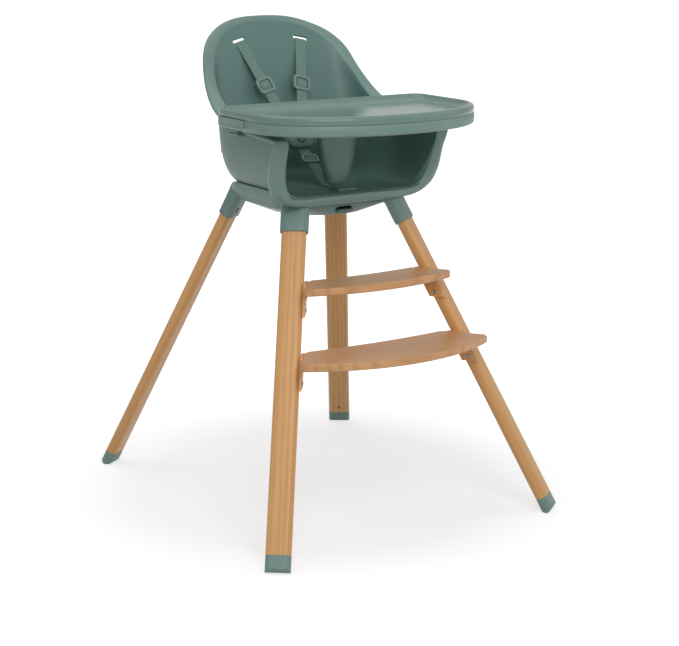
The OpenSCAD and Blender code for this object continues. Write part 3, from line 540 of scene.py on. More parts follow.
def lofted(name: str, rings: Sequence[Sequence[Vector]], place: Matrix = HOME, angle: float = 40.0,
           closed: bool = False) -> Piece:
    """Joins rings of points, each with as many points, into one closed skin.

    Args:
        name: the object's name.
        rings: the rings in order, in millimetres.
        place: the frame that the rings are in.
        angle: edges sharper than this many degrees stay sharp.
        closed: join the last ring to the first, with no face over either end.
    Returns:
        The skin as an object.
    """
    bm = bmesh.new()
    rows = [[bm.verts.new(place @ (p * MM)) for p in ring] for ring in rings]
    for a, b in list(zip(rows, rows[1:])) + ([(rows[-1], rows[0])] if closed else []):
        for i in range(len(a)):
            k = (i + 1) % len(a)
            bm.faces.new((a[i], a[k], b[k], b[i]))
    if not closed:
        bm.faces.new(rows[0][::-1])
        bm.faces.new(rows[-1])
    return from_bmesh(name, outward(bm), angle)


def settled(piece: Piece) -> Piece:
    """Applies every modifier of a piece into a plain mesh.

    Args:
        piece: the piece with its modifiers.
    Returns:
        The same piece with a plain mesh.
    """
    graph = bpy.context.evaluated_depsgraph_get()
    mesh = bpy.data.meshes.new_from_object(piece.evaluated_get(graph), preserve_all_data_layers=True, depsgraph=graph)
    piece.modifiers.clear()
    old, piece.data = piece.data, mesh
    mesh.name = piece.name
    bpy.data.meshes.remove(old)
    return piece


def softened(piece: Piece, width: float, segments: int = 3, angle: float = 32.0) -> Piece:
    """Rounds a piece's sharp edges.

    Args:
        piece: the piece to round.
        width: the width of the rounding in millimetres.
        segments: the number of facets over it.
        angle: edges sharper than this many degrees are rounded.
    Returns:
        The same piece with a plain mesh.
    """
    bevel = piece.modifiers.new("round", "BEVEL")
    bevel.width, bevel.segments, bevel.limit_method = width * MM, segments, "ANGLE"
    bevel.angle_limit, bevel.use_clamp_overlap = math.radians(angle), True
    piece.modifiers.new("even", "WEIGHTED_NORMAL").keep_sharp = True
    return settled(piece)


def cut(piece: Piece, cutters: Iterable[Piece], angle: float = 40.0) -> Piece:
    """Cuts closed shapes out of a piece and removes the shapes.

    Args:
        piece: the piece to cut.
        cutters: the closed shapes.
        angle: edges sharper than this many degrees stay sharp.
    Returns:
        The same piece with a plain mesh.
    """
    tools = list(cutters)
    for i, tool in enumerate(tools):
        step = piece.modifiers.new(f"cut_{i}", "BOOLEAN")
        step.operation, step.object, step.solver = "DIFFERENCE", tool, "EXACT"
    settled(piece)
    for tool in tools:
        bpy.data.objects.remove(tool)
    shade(piece.data, angle)
    return piece


def joined(piece: Piece, others: Iterable[Piece], angle: float) -> Piece:
    """Adds other objects' meshes to a piece, removes them and shades the whole.

    Args:
        piece: the piece that takes the meshes.
        others: the objects to add.
        angle: edges sharper than this many degrees stay sharp.
    Returns:
        The same piece.
    """
    bm = bmesh.new()
    bm.from_mesh(piece.data)
    for other in others:
        bm.from_mesh(other.data)
        bpy.data.objects.remove(other)
    bm.to_mesh(piece.data)
    bm.free()
    shade(piece.data, angle)
    return piece


def merged(node: str) -> bmesh.types.BMesh:
    """A CAD node's mesh with its doubled points merged.

    Args:
        node: the CAD node.
    Returns:
        The mesh, which the caller frees.
    """
    bm = bmesh.new()
    bm.from_mesh(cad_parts[node].data)
    bmesh.ops.remove_doubles(bm, verts=bm.verts, dist=MERGE)
    return bm


def copy_of(node: str, name: str, angle: float = 32.0) -> Piece:
    """A merged and cleaned copy of a CAD node's mesh, ready to be rounded.

    Args:
        node: the CAD node.
        name: the copy's name.
        angle: edges sharper than this many degrees stay sharp.
    Returns:
        The copy as an object.
    """
    bm = merged(node)
    bmesh.ops.dissolve_limit(bm, angle_limit=math.radians(0.6), verts=bm.verts, edges=bm.edges)
    return from_bmesh(name, bm, angle)


def islands(node: str) -> list[Ring]:
    """The points of each separate solid of a CAD node, in a steady order.

    Args:
        node: the CAD node.
    Returns:
        A list of points for each solid, in metres.
    """
    bm = merged(node)
    done, groups = set(), []
    for start in bm.verts:
        todo, group = [start], []
        while todo:
            v = todo.pop()
            if v not in done:
                done.add(v)
                group.append(v.co.copy())
                todo += [e.other_vert(v) for e in v.link_edges]
        if group:
            groups.append(group)
    bm.free()
    return sorted(groups, key=lambda g: tuple(round(c, 4) for c in sum(g, Vector()) / len(g)))


def widest_axis(points: Sequence[Vector], turns: int = 40) -> Vector:
    """The direction along which a centred cloud of points reaches furthest.

    Args:
        points: the points round their middle.
        turns: how many times the direction is refined.
    Returns:
        The direction, with a length of 1.
    """
    axis = Vector((0.6, 0.5, 0.4)).normalized()
    for _ in range(turns):
        axis = sum((p * p.dot(axis) for p in points), Vector()).normalized()
    return axis


def box_cutter(place: Matrix, low: Sequence[float], high: Sequence[float], soft: float = 0.0) -> Piece:
    """A box in its own frame, for cutting or joining.

    Args:
        place: the frame's matrix.
        low: the lowest corner in millimetres.
        high: the highest corner in millimetres.
        soft: the rounding of its edges in millimetres.
    Returns:
        The box as an object.
    """
    bm = bmesh.new()
    bmesh.ops.create_cube(bm, size=1)
    for v in bm.verts:
        v.co = Vector([(a + b) / 2 + c * (b - a) for a, b, c in zip(low, high, v.co)]) * MM
    if soft:
        bmesh.ops.bevel(bm, geom=bm.edges[:], offset=soft * MM, segments=3, affect="EDGES", profile=0.5)
    bmesh.ops.transform(bm, matrix=place, verts=bm.verts)
    return from_bmesh("cutter", outward(bm))


def nudge(piece: Piece, place: Matrix, shift: Sequence[float]) -> None:
    """Moves a piece's mesh by a shift in millimetres along a frame's own axes."""
    piece.data.transform(Matrix.Translation(place.to_3x3() @ Vector(shift) * MM))


def grain_along(piece: Piece, place: Matrix) -> None:
    """Stores each point's place in a frame whose Z runs along the wood's grain.

    Args:
        piece: the wooden piece.
        place: the frame's matrix.
    """
    back = place.inverted()
    store = piece.data.attributes.new("grain", "FLOAT_VECTOR", "POINT")
    store.data.foreach_set("vector", [c for v in piece.data.vertices for c in back @ v.co])


def coat(piece: Piece, finish: Finish) -> None:
    """Gives a piece or a CAD node its material.

    Args:
        piece: the piece or the node.
        finish: its material and slot.
    """
    piece.data.materials.clear()
    piece.data.materials.append(finish.material)


def paint(finish: Finish, *nodes: str) -> None:
    """Gives CAD nodes that stay a better material.

    Args:
        finish: their material and slot.
        nodes: the CAD nodes.
    """
    for node in nodes:
        coat(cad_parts[node], finish)
        LOG.info("%s keeps its solid, with %s", node, finish.material.name)


def dress(piece: Piece, body: str, finish: Finish, *nodes: str) -> Piece:
    """Gives a piece its finish's material and its body, and hides the nodes that it stands for.

    Args:
        piece: the finished piece.
        body: the body that it rides on.
        finish: its material and slot.
        nodes: the CAD nodes that it replaces.
    Returns:
        The same piece.
    """
    coat(piece, finish)
    piece.data.polygons.foreach_set("material_index", [0] * len(piece.data.polygons))
    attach(piece, body)
    if nodes:
        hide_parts(*nodes)
    LOG.info("%s: %d faces on %s", piece.name, len(piece.data.polygons), body)
    return piece


def remade(node: str, suffix: str, body: str, finish: Finish, edge: float, segments: int = 3,
           angle: float = 32.0) -> Piece:
    """Replaces a CAD node with a copy that is rounded by an edge in millimetres, named with a suffix and dressed."""
    return dress(softened(copy_of(node, f"{node}_{suffix}"), edge, segments, angle), body, finish, node)


class Repeater:
    """Geometry nodes that set one small form on many points, each with its own turn."""

    def __init__(self) -> None:
        """Builds the node tree with its named inputs."""
        tree = bpy.data.node_groups.new("form_on_points", "GeometryNodeTree")
        sockets = {name: tree.interface.new_socket(name, in_out=way, socket_type=f"NodeSocket{kind}")
                   for name, way, kind in (("Points", "INPUT", "Geometry"), ("Form", "INPUT", "Object"),
                                           ("Size", "INPUT", "Float"), ("Finish", "INPUT", "Material"),
                                           ("Pieces", "OUTPUT", "Geometry"))}
        start, end, info, turn, named, points, place, real, skin = (tree.nodes.new(kind) for kind in (
            "NodeGroupInput", "NodeGroupOutput", "GeometryNodeObjectInfo", "FunctionNodeEulerToRotation",
            "GeometryNodeInputNamedAttribute", "GeometryNodeMeshToPoints", "GeometryNodeInstanceOnPoints",
            "GeometryNodeRealizeInstances", "GeometryNodeSetMaterial"))
        named.data_type = "FLOAT_VECTOR"
        named.inputs["Name"].default_value = "turn"
        for source, out, target, into in (
                (start, "Points", points, "Mesh"), (start, "Form", info, "Object"),
                (points, "Points", place, "Points"), (info, "Geometry", place, "Instance"),
                (named, "Attribute", turn, 0), (turn, 0, place, "Rotation"), (start, "Size", place, "Scale"),
                (place, "Instances", real, "Geometry"), (real, "Geometry", skin, "Geometry"),
                (start, "Finish", skin, "Material"), (skin, "Geometry", end, "Pieces")):
            tree.links.new(source.outputs[out], target.inputs[into])
        self.tree, self.sockets = tree, sockets

    def build(self, name: str, form: Piece, places: Sequence[Matrix], finish: Finish) -> Piece:
        """Sets the form on every place.

        Args:
            name: the finished piece's name.
            form: the small form, drawn at the origin with +Z outwards, which is then removed.
            places: one matrix for each copy.
            finish: its material and slot.
        Returns:
            One plain mesh piece.
        """
        mesh = bpy.data.meshes.new(name)
        mesh.from_pydata([m.translation for m in places], [], [])
        turn = mesh.attributes.new("turn", "FLOAT_VECTOR", "POINT")
        turn.data.foreach_set("vector", [c for m in places for c in m.to_euler("XYZ")])
        piece = add_object(name, mesh)
        steps = piece.modifiers.new("repeat", "NODES")
        steps.node_group = self.tree
        for label, value in (("Form", form), ("Size", 1.0), ("Finish", finish.material)):
            steps[self.sockets[label].identifier] = value
        bpy.context.view_layer.update()
        settled(piece)
        shade(piece.data, 40)
        bpy.data.objects.remove(form)
        return piece


def screw_form(head: float, rise: float, cross: float) -> Piece:
    """A domed screw head with a cross recess, +Z out of the work.

    Args:
        head: the head's radius in millimetres.
        rise: its height in millimetres.
        cross: the half length of the recess in millimetres.
    Returns:
        The form.
    """
    dome = ((1.0, 0.0), (1.0, 0.28), (0.93, 0.6), (0.72, 0.88), (0.4, 1.0))
    form = lofted("screw_form", [disc(head * share, rise * height, 20) for share, height in dome])
    low, high = (-cross, -cross * 0.2, rise * 0.45), (cross, cross * 0.2, rise * 2)
    return cut(form, [box_cutter(turned(z=90 * k), low, high) for k in (0, 1)])


def stitch_form(length: float, radius: float) -> Piece:
    """One sewn stitch along X: a short thread that dives at both ends.

    Args:
        length: the stitch's length in millimetres.
        radius: the thread's radius in millimetres.
    Returns:
        The form.
    """
    rings = []
    for share in (0, 0.25, 0.5, 0.75, 1):
        fat = radius * (0.35 + 0.65 * math.sin(math.pi * (0.12 + 0.76 * share)))
        lift = radius * (1.5 * math.sin(math.pi * share) - 0.6)
        rings.append(around(6, lambda c, s: (length * (share - 0.5), fat * c, lift + fat * s)))
    return lofted("stitch_form", rings)


# ---- sub-assemblies ----
@dataclass
class Legs:
    """The four wooden legs, their foot caps and the bolts that hold them."""

    front_foot: tuple[float, float] = (298.0, -354.5)
    rear_foot: tuple[float, float] = (279.5, 360.0)
    mouth_x: float = 123.0
    mouth_y: tuple[float, float] = (-122.4, 127.2)
    mouth_z: float = 527.0
    wood_edge: float = 1.1
    cap_edge: float = 1.0
    hole_z: float = 45.0
    hole: tuple[tuple[float, float], ...] = ((5, 3.9), (10.4, 3.9), (12.5, 5.4))
    heart: tuple[tuple[float, float, float], ...] = ((11, 7, 90), (11, -5, 0))

    def run(self, sx: int, front: bool) -> tuple[Vector, Vector]:
        """A leg's foot, and its run up to its socket's mouth, in millimetres.

        Args:
            sx: -1 for the child's right and 1 for the left.
            front: true for a front leg.
        Returns:
            The foot's place, and the run from it to the mouth.
        """
        x, y = self.front_foot if front else self.rear_foot
        mouth = self.mouth_y[0 if front else 1]
        return Vector((sx * x, y, 0)), Vector((sx * (self.mouth_x - x), mouth - y, self.mouth_z))

    def axis_frame(self, sx: int, front: bool) -> Matrix:
        """A leg's frame: the origin at its foot, Z up the leg and X towards the hub.

        Args:
            sx: -1 for the child's right and 1 for the left.
            front: true for a front leg.
        Returns:
            The frame's matrix.
        """
        foot, run = self.run(sx, front)
        tilt = math.degrees(math.acos(run.z / run.length))
        return moved(*foot) @ turned(y=tilt, z=math.degrees(math.atan2(run.y, run.x)))

    def peg_hole(self, at: Matrix) -> Piece:
        """The blind round hole low on a rear leg's inner face."""
        return lofted("cutter", [around(28, lambda c, s: (x, r * c, self.hole_z + r * s)) for x, r in self.hole], at)

    def build(self, finishes: Finishes) -> None:
        """Builds and dresses the legs and caps.

        Args:
            finishes: the chair's finishes.
        """
        for end, front in (("front", True), ("rear", False)):
            for side, sx in SIDES:
                at = self.axis_frame(sx, front)
                node = f"leg_{end}_{side}"
                wood = softened(copy_of(node, f"{node}_wood"), self.wood_edge, 3, 50)
                if not front:
                    cut(wood, [self.peg_hole(at)])
                x, y, z = self.heart[0 if front else 1]
                grain_along(wood, at @ moved(x * sx, y, z))
                dress(wood, "base", finishes.leg, node)
                remade(f"foot_cap_{end}_{side}", "rubber", "base", finishes.green, self.cap_edge, 3, 50)
        paint(finishes.steel, "leg_bolts", "leg_inserts")


@dataclass
class Hub:
    """The moulded hub with its sockets, its cover and the seat's release."""

    voxel: float = 2.0
    passes: int = 4
    seating: float = 2.4
    trim: float = 8.0
    reach: float = 40.0
    blend_low: float = 9.0
    blend_deep: float = 8.0

    def build(self, finishes: Finishes, legs: Legs, seat: "Seat") -> None:
        """Builds and dresses the hub, with its top following the seat's underside.

        Args:
            finishes: the chair's finishes.
            legs: gives the sockets' directions.
            seat: gives the form that the hub's top follows.
        """
        hub = copy_of("leg_hub", "hub_moulding")
        top = max(v.co.z for v in hub.data.vertices)
        for v in hub.data.vertices:
            if v.co.z > top - 0.1 * MM:
                v.co.z += self.seating * MM
        cutters, wide = [], self.reach
        for front in (True, False):
            for _, sx in SIDES:
                end = legs.run(sx, front)[1].length
                cutters.append(box_cutter(legs.axis_frame(sx, front), (-wide, -wide, end - wide / 2),
                                          (wide, wide, end + self.trim)))
        cut(hub, cutters)
        skin = hub.modifiers.new("skin", "REMESH")
        skin.mode, skin.voxel_size, skin.use_smooth_shade = "VOXEL", self.voxel * MM, True
        ease = hub.modifiers.new("ease", "SMOOTH")
        ease.factor, ease.iterations = 0.5, self.passes
        settled(hub)
        for v in hub.data.vertices:
            share = smooth(((v.co.z - top) / MM + self.blend_low) / self.blend_deep)
            if share > 0:
                v.co.z += (seat.underside(v.co.x / MM) - seat.floor + seat.wall) * share * MM
        shade(hub.data, 60)
        dress(hub, "base", finishes.green, "leg_hub")
        remade("hub_cover", "plate", "base", finishes.dark, 0.6, 2)
        remade("release_paddle", "moulding", "release_paddle", finishes.dark, 1.0)
        paint(finishes.steel, "release_spring", "cover_screws")


@dataclass
class Steps:
    """The two wooden foot steps, their cleats and screws."""

    edge: float = 2.4
    cleat_edge: float = 1.2
    hearts: tuple[tuple[float, float, float], ...] = ((0, 0.02, 0.004), (0.13, 0.02, -0.005))
    head: tuple[float, float, float] = (3.7, 1.4, 2.0)
    sunk: float = 1.3

    def build(self, finishes: Finishes, repeater: Repeater) -> None:
        """Builds and dresses the steps.

        Args:
            finishes: the chair's finishes.
            repeater: sets small forms on points.
        """
        for heart, node in zip(self.hearts, ("upper_step", "lower_step")):
            board = softened(copy_of(node, f"{node}_board", 25), self.edge, 4, 45)
            low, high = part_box(node)
            centre = Matrix.Translation((low + high) / 2 + Vector(heart))
            grain_along(board, centre @ turned(y=90))
            dress(board, "base", finishes.step, node)
            for side, _ in SIDES:
                cleat = f"{node.split('_')[0]}_cleat_{side}"
                grain_along(remade(cleat, "block", "base", finishes.leg, self.cleat_edge), centre)
        heads = repeater.build("step_screw_heads", screw_form(*self.head), self.screw_heads(), finishes.steel)
        dress(heads, "base", finishes.steel, "step_screws")

    def screw_heads(self) -> list[Matrix]:
        """The frame of each screw head, Z outwards, read from the screws' own solids.

        Returns:
            One matrix for each screw.
        """
        found = []
        for points in islands("step_screws"):
            middle = sum(points, Vector()) / len(points)
            axis = widest_axis([p - middle for p in points])
            if axis.x * middle.x > 0:
                axis = -axis
            top = max((p - middle).dot(axis) for p in points)
            seat = Matrix.Translation(middle + axis * (top - self.sunk * MM))
            found.append(seat @ axis.to_track_quat("Z", "Y").to_matrix().to_4x4())
        return found


@dataclass
class Seat:
    """The bucket seat's shell: walls that curve up from a flat floor, and a crowned rim with a rolled lip."""

    top: float = 902.0
    floor: float = 600.0
    wall: float = 4.0
    arm_z: float = 723.4
    half: float = 158.0
    arm_half: float = 188.0
    floor_half: float = 118.0
    middle_y: float = -20.0
    lean: float = 0.32
    curve: float = 110.0
    rows: int = 22
    parts: int = 6
    crown: float = 1.5
    lip: float = 8.0
    bell: float = 45.0
    slope: float = 2.2
    fan: float = 0.14
    draw: float = 0.05
    shoulder_slot: Box = ((-15, -4.6, -20), (15, 3.2, 20))
    waist_slot: Box = ((-30, -13.5, -3), (30, 13.5, 3))

    def half_w(self, z: float) -> float:
        """Half the inside width at a height."""
        u = clamp01((z - self.floor) / self.curve)
        return self.floor_half + (self.half - self.floor_half) * math.sqrt(1 - (1 - u) ** 2)

    def underside(self, x: float) -> float:
        """The height of the shell's underside at a distance from the middle."""
        share = clamp01((abs(x) - self.wall - self.floor_half) / (self.half - self.floor_half))
        return self.floor - self.wall + self.curve * (1 - math.sqrt(1 - share * share))

    def back_y(self, z: float) -> float:
        """How far back the inside of the back stands at a height.

        Args:
            z: the height in millimetres.
        Returns:
            Its y in millimetres.
        """
        up = z - self.floor
        u, v, w = clamp01(up / 80), clamp01((up - 90) / 150), clamp01((up - 200) / 91)
        return 88 + 34 * (1 - (1 - u) ** 3) ** (1 / 3) + 32 * v * v * (3 - 2 * v) + 46 * w * w

    def opening_y(self, z: float) -> float:
        """Where the front opening lies at a height."""
        return -131 - self.lean * (z - self.floor + 10)

    def rim(self) -> list[tuple[Vector, Vector]]:
        """The inner and outer edge of the rim, from the middle of the back to the middle of the front.

        Returns:
            The pairs of points in millimetres.
        """
        t, a, f, h, k, o = self.top, self.arm_z, self.floor, self.half, self.arm_half, self.opening_y
        low = f + 1
        points = [
            ((0, 199, t - 11), (0, 204, t)), ((46, 195, t - 13.5), (53, 201, t - 2.5)),
            ((84, 183, t - 23), (95, 190.5, t - 13)), ((113, 165, t - 41), (131.5, 168, t - 32)),
            ((136, 141, t - 71), (155.5, 142.5, t - 60)), ((150, 115, t - 103), (170.5, 117, t - 99.5)),
            ((156, 86, t - 132), (180.5, 86, t - 132)), ((h, 50, a + 23), (k - 1, 50, a + 23)),
            ((h, 14, a + 9), (k, 14, a + 9)), ((h, -16, a - 0.2), (k, -16, a - 0.2)),
            ((h, -60, a - 3), (k, -60, a - 3)), ((h, -112, a - 8), (k - 1, -112, a - 8)),
            ((h, o(a - 14) + 12, a - 12), (k - 3, o(a - 14) + 12, a - 12)),
            ((h, o(a - 20), a - 20), (k - 4, o(a - 20), a - 18)),
            ((h - 1, o(f + 65), f + 65), (k - 5, o(f + 65), f + 65)),
            ((h - 6, o(f + 32), f + 32), (k - 7, o(f + 32), f + 30)),
            ((h - 18, o(f + 11), f + 10), (k - 21, o(f + 2), f)),
            ((h - 46, o(low), low), (k - 62, o(f - 18), f - 17.5)),
            ((60, o(low), low), (62, o(f - 20), f - 20)), ((0, o(low), low), (0, o(f - 20), f - 20))]
        return [(Vector(p), Vector(q)) for p, q in points]

    def half_rim(self, side: int) -> Ring:
        """One edge of the rim as a dense smooth line over the child's left half.

        Args:
            side: 0 for the inner edge and 1 for the outer.
        Returns:
            The line's points.
        """
        rim = [pair[side] for pair in self.rim()]
        ends = [flipped(rim[1]), *rim, flipped(rim[-2])]
        return [catmull(*ends[i:i + 4], k / self.parts) for i in range(len(rim) - 1)
                for k in range(self.parts)] + [rim[-1]]

    def wall_point(self, r: Vector, t: float) -> Vector:
        """A point of the inner wall below rim point r, at share t of the height.

        Args:
            r: the point on the rim's inner edge.
            t: 0 at the floor and 1 at the rim.
        Returns:
            The point in millimetres.
        """
        rise = t ** self.slope
        z = self.floor + (r.z - self.floor) * rise
        if r.y > 0:
            m = r.y / self.back_y(r.z) * self.back_y(z)
        else:
            fan = 1 - self.fan * clamp01((r.z - self.floor) / (self.arm_z - self.floor)) * (1 - rise)
            m = r.y / self.opening_y(r.z) * self.opening_y(z) * fan
        share = 1 - self.draw * (1 - t) ** 4
        y = self.middle_y + (m - self.middle_y) * share
        return Vector((r.x / self.half_w(r.z) * self.half_w(z) * share, y, z))

    def rim_profile(self, a: Vector, b: Vector, up: Vector, below: Vector) -> Ring:
        """The section over the rim, from the inner wall round the lip to the outer wall.

        Args:
            a: the rim's inner edge.
            b: its outer edge.
            up: the direction off the rim's face.
            below: the direction down the inner wall.
        Returns:
            The points of the section.
        """
        out, wide, wall = (b - a).normalized(), (b - a).length, self.wall
        s = min(1.0, wide / 17)
        high = smooth((b.z - (self.floor + 10)) / 60)
        lip = wall + (self.lip - wall) * high
        turn = 1.0 + 1.8 * high
        round_off = 1 - smooth((20 - b.y) / 40) * smooth((b.z - self.arm_z + 34) / 15)
        crown = self.crown * s * round_off
        front = (smooth((-b.y - 100) / 20) * smooth((self.arm_z - 19 - b.z) / 32)
                 * smooth((b.z - self.floor + 14) / 16))
        rolled = [
            b - up * (lip - 1.0) - out * 0.15, b - up * lip - out * 0.8 * s,
            b - up * (lip - 0.2) - out * turn * s, b - up * (lip - 1.2) - out * (turn + 0.6) * s,
            b - up * (wall + 0.4 * high) - out * (turn + 1.6) * s, a + (b - a) * 0.52 - up * wall,
            a + out * (wall + 2.2) * s - up * (wall + 0.4), a + out * wall - up * (wall + 3.4)]
        flared = [b - up * self.bell * q - out * (wide - wall) * r for q, r in
                  ((0.3, 0.02), (0.4, 0.08), (0.52, 0.24), (0.66, 0.48), (0.8, 0.74), (0.96, 0.95), (1.1, 1.03))]
        flared.append(a + out * (wall - 1.4) - up * (wall + 1.0))
        return [
            a + below * 3.0, a + below * 1.0 + out * 0.9 * s, a + out * 3.0 * s + up * 0.35 * round_off,
            a + out * wide * 0.36 + up * crown, a + out * wide * 0.66 + up * crown * 0.95,
            b - out * (3.0 + 6.0 * front) * s + up * 0.55 * s * round_off,
            b - out * (0.9 + 2.3 * front) * s - up * (0.8 + 1.2 * front),
            b - out * 0.8 * front - up * (2.6 + 3.6 * front), *[p.lerp(q, front) for p, q in zip(rolled, flared)]]

    def section(self, grid: Sequence[Sequence[Vector]], inner: Sequence[Vector], b: Vector, j: int) -> Ring:
        """One slice of the shell: up the inner wall, over the rim and down the outer wall.

        Args:
            grid: the inner wall's points for each rim point, from the floor up.
            inner: the rim's inner edge.
            b: the slice's point on the rim's outer edge.
            j: the slice's number.
        Returns:
            The points of the slice.
        """
        def at(line: Sequence, k: int) -> object:
            """An entry of a half list, mirrored past its ends.

            Args:
                line: the half list.
                k: the entry's number.
            Returns:
                The entry.
            """
            last = len(inner) - 1
            if 0 <= k <= last:
                return line[k]
            entry = line[-k] if k < 0 else line[2 * last - k]
            return flipped(entry) if isinstance(entry, Vector) else [flipped(p) for p in entry]

        def normal(i: int) -> Vector:
            """The outward direction of the wall, turning straight down under the floor.

            Args:
                i: the point's number, from the floor up.
            Returns:
                The direction, with a length of 1.
            """
            along = at(grid, j + 1)[i] - at(grid, j - 1)[i]
            rising = grid[j][min(i + 1, self.rows)] - grid[j][max(i - 1, 0)]
            share = min(1.0, i / self.rows * 11 / 3)
            return (rising.cross(along).normalized() * share + Vector((0, 0, -1)) * (1 - share)).normalized()

        a, wall = inner[j], self.wall
        out = (b - a).normalized()
        up = (at(inner, j + 1) - at(inner, j - 1)).normalized().cross(out).normalized()
        below = (grid[j][self.rows - 1] - a).normalized()
        inside = [p for p in grid[j][:-1] if (p - a).length > 4.5]
        inside += [a + below * (3.0 + 0.7 * k) for k in range(self.rows - len(inside), 0, -1)]
        outside = [grid[j][i] + normal(i) * wall for i in range(self.rows - 1, -1, -1)]
        for i, p in enumerate(outside[:3]):
            if (p - a).length < 9:
                outside[i] = a + out * wall - up * (wall + 4.6 + 1.6 * i)
        return inside + self.rim_profile(a, b, up, below) + outside

    def shell(self) -> Piece:
        """Builds the shell as one closed skin, and stores where its walls get the darker tone of matt texture and
        painted shade.

        Returns:
            The shell as an object.
        """
        inner, outer = self.half_rim(0), self.half_rim(1)
        grid = [[self.wall_point(r, i / self.rows) for i in range(self.rows + 1)] for r in inner]
        half = [self.section(grid, inner, b, j) for j, b in enumerate(outer)]
        middle = Vector((0, self.middle_y, 0))

        def drawn(p: Vector, share: float, z: float) -> Vector:
            """A point drawn in towards the middle of the floor."""
            return middle + (Vector((p.x, p.y, 0)) - middle) * share + Vector((0, 0, z))

        bm = bmesh.new()
        matt = bm.verts.layers.float.new("matt")
        rows = []
        for s in half + [[flipped(p) for p in s] for s in half[-2:0:-1]]:
            deep = [drawn(s[0], share, self.floor) for share in (0.55, 0.9)]
            under = [drawn(s[-1], share, self.floor - self.wall) for share in (0.9, 0.55)]
            rows.append([bm.verts.new(p * MM) for p in deep + s + under])
            for i, v in enumerate(rows[-1]):
                # painted shade: the floor and inner wall, and the lip's underside, outer wall and underside, are
                # marked for the darker tone; the rim's top stays lighter
                v[matt] = max(clamp01(self.rows + 3.5 - i), clamp01(self.rows + 8.5 - len(rows[-1]) + i))
        for a, b in zip(rows, rows[1:] + rows[:1]):
            for i in range(len(a) - 1):
                bm.faces.new((a[i], b[i], b[i + 1], a[i + 1]))
        bm.faces.new([row[0] for row in rows])
        bm.faces.new([row[-1] for row in rows][::-1])
        bmesh.ops.remove_doubles(bm, verts=bm.verts, dist=2 * MERGE)
        return from_bmesh("seat_moulding", outward(bm), 60)

    def slots(self, harness: "Harness") -> list[Piece]:
        """The shapes that cut the straps' slots.

        Args:
            harness: gives the straps' frames.
        Returns:
            The shapes.
        """
        cutters = []
        for _, sx in SIDES:
            at = harness.shoulder_frame(sx) @ moved(0, harness.shoulder_length() + 1.5, -4)
            cutters.append(box_cutter(at, *self.shoulder_slot, 1.8))
            cutters.append(box_cutter(harness.waist_frame(sx) @ harness.waist_exit(), *self.waist_slot, 1.5))
        return cutters

    def build(self, finishes: Finishes, harness: "Harness") -> None:
        """Builds and dresses the seat, with each cut's new points as dark as their nearest old point in the walls'
        painted shade and matt tone.

        Args:
            finishes: the chair's finishes.
            harness: gives the straps' frames.
        """
        shell = self.shell()
        before = BVHTree.FromObject(shell, bpy.context.evaluated_depsgraph_get())
        values = [entry.value for entry in shell.data.attributes["matt"].data]
        places = [v.co.copy() for v in shell.data.vertices]
        faces = [list(f.vertices) for f in shell.data.polygons]
        cut(shell, self.slots(harness), 50)
        # painted shade: the cut's new points copy the darker wall tone from the nearest old point
        matt = shell.data.attributes["matt"].data
        for v in shell.data.vertices:
            spot, _, index, _ = before.find_nearest(v.co)
            matt[v.index].value = values[min(faces[index], key=lambda k: (places[k] - spot).length)]
        dress(shell, "seat", finishes.shell, "seat_shell")
        plate = softened(copy_of("seat_mount_plate", "seat_plate_moulding"), 0.8, 2)
        dress(plate, "seat", finishes.dark, "seat_mount_plate")
        paint(finishes.painted, "seat_mount_screws")


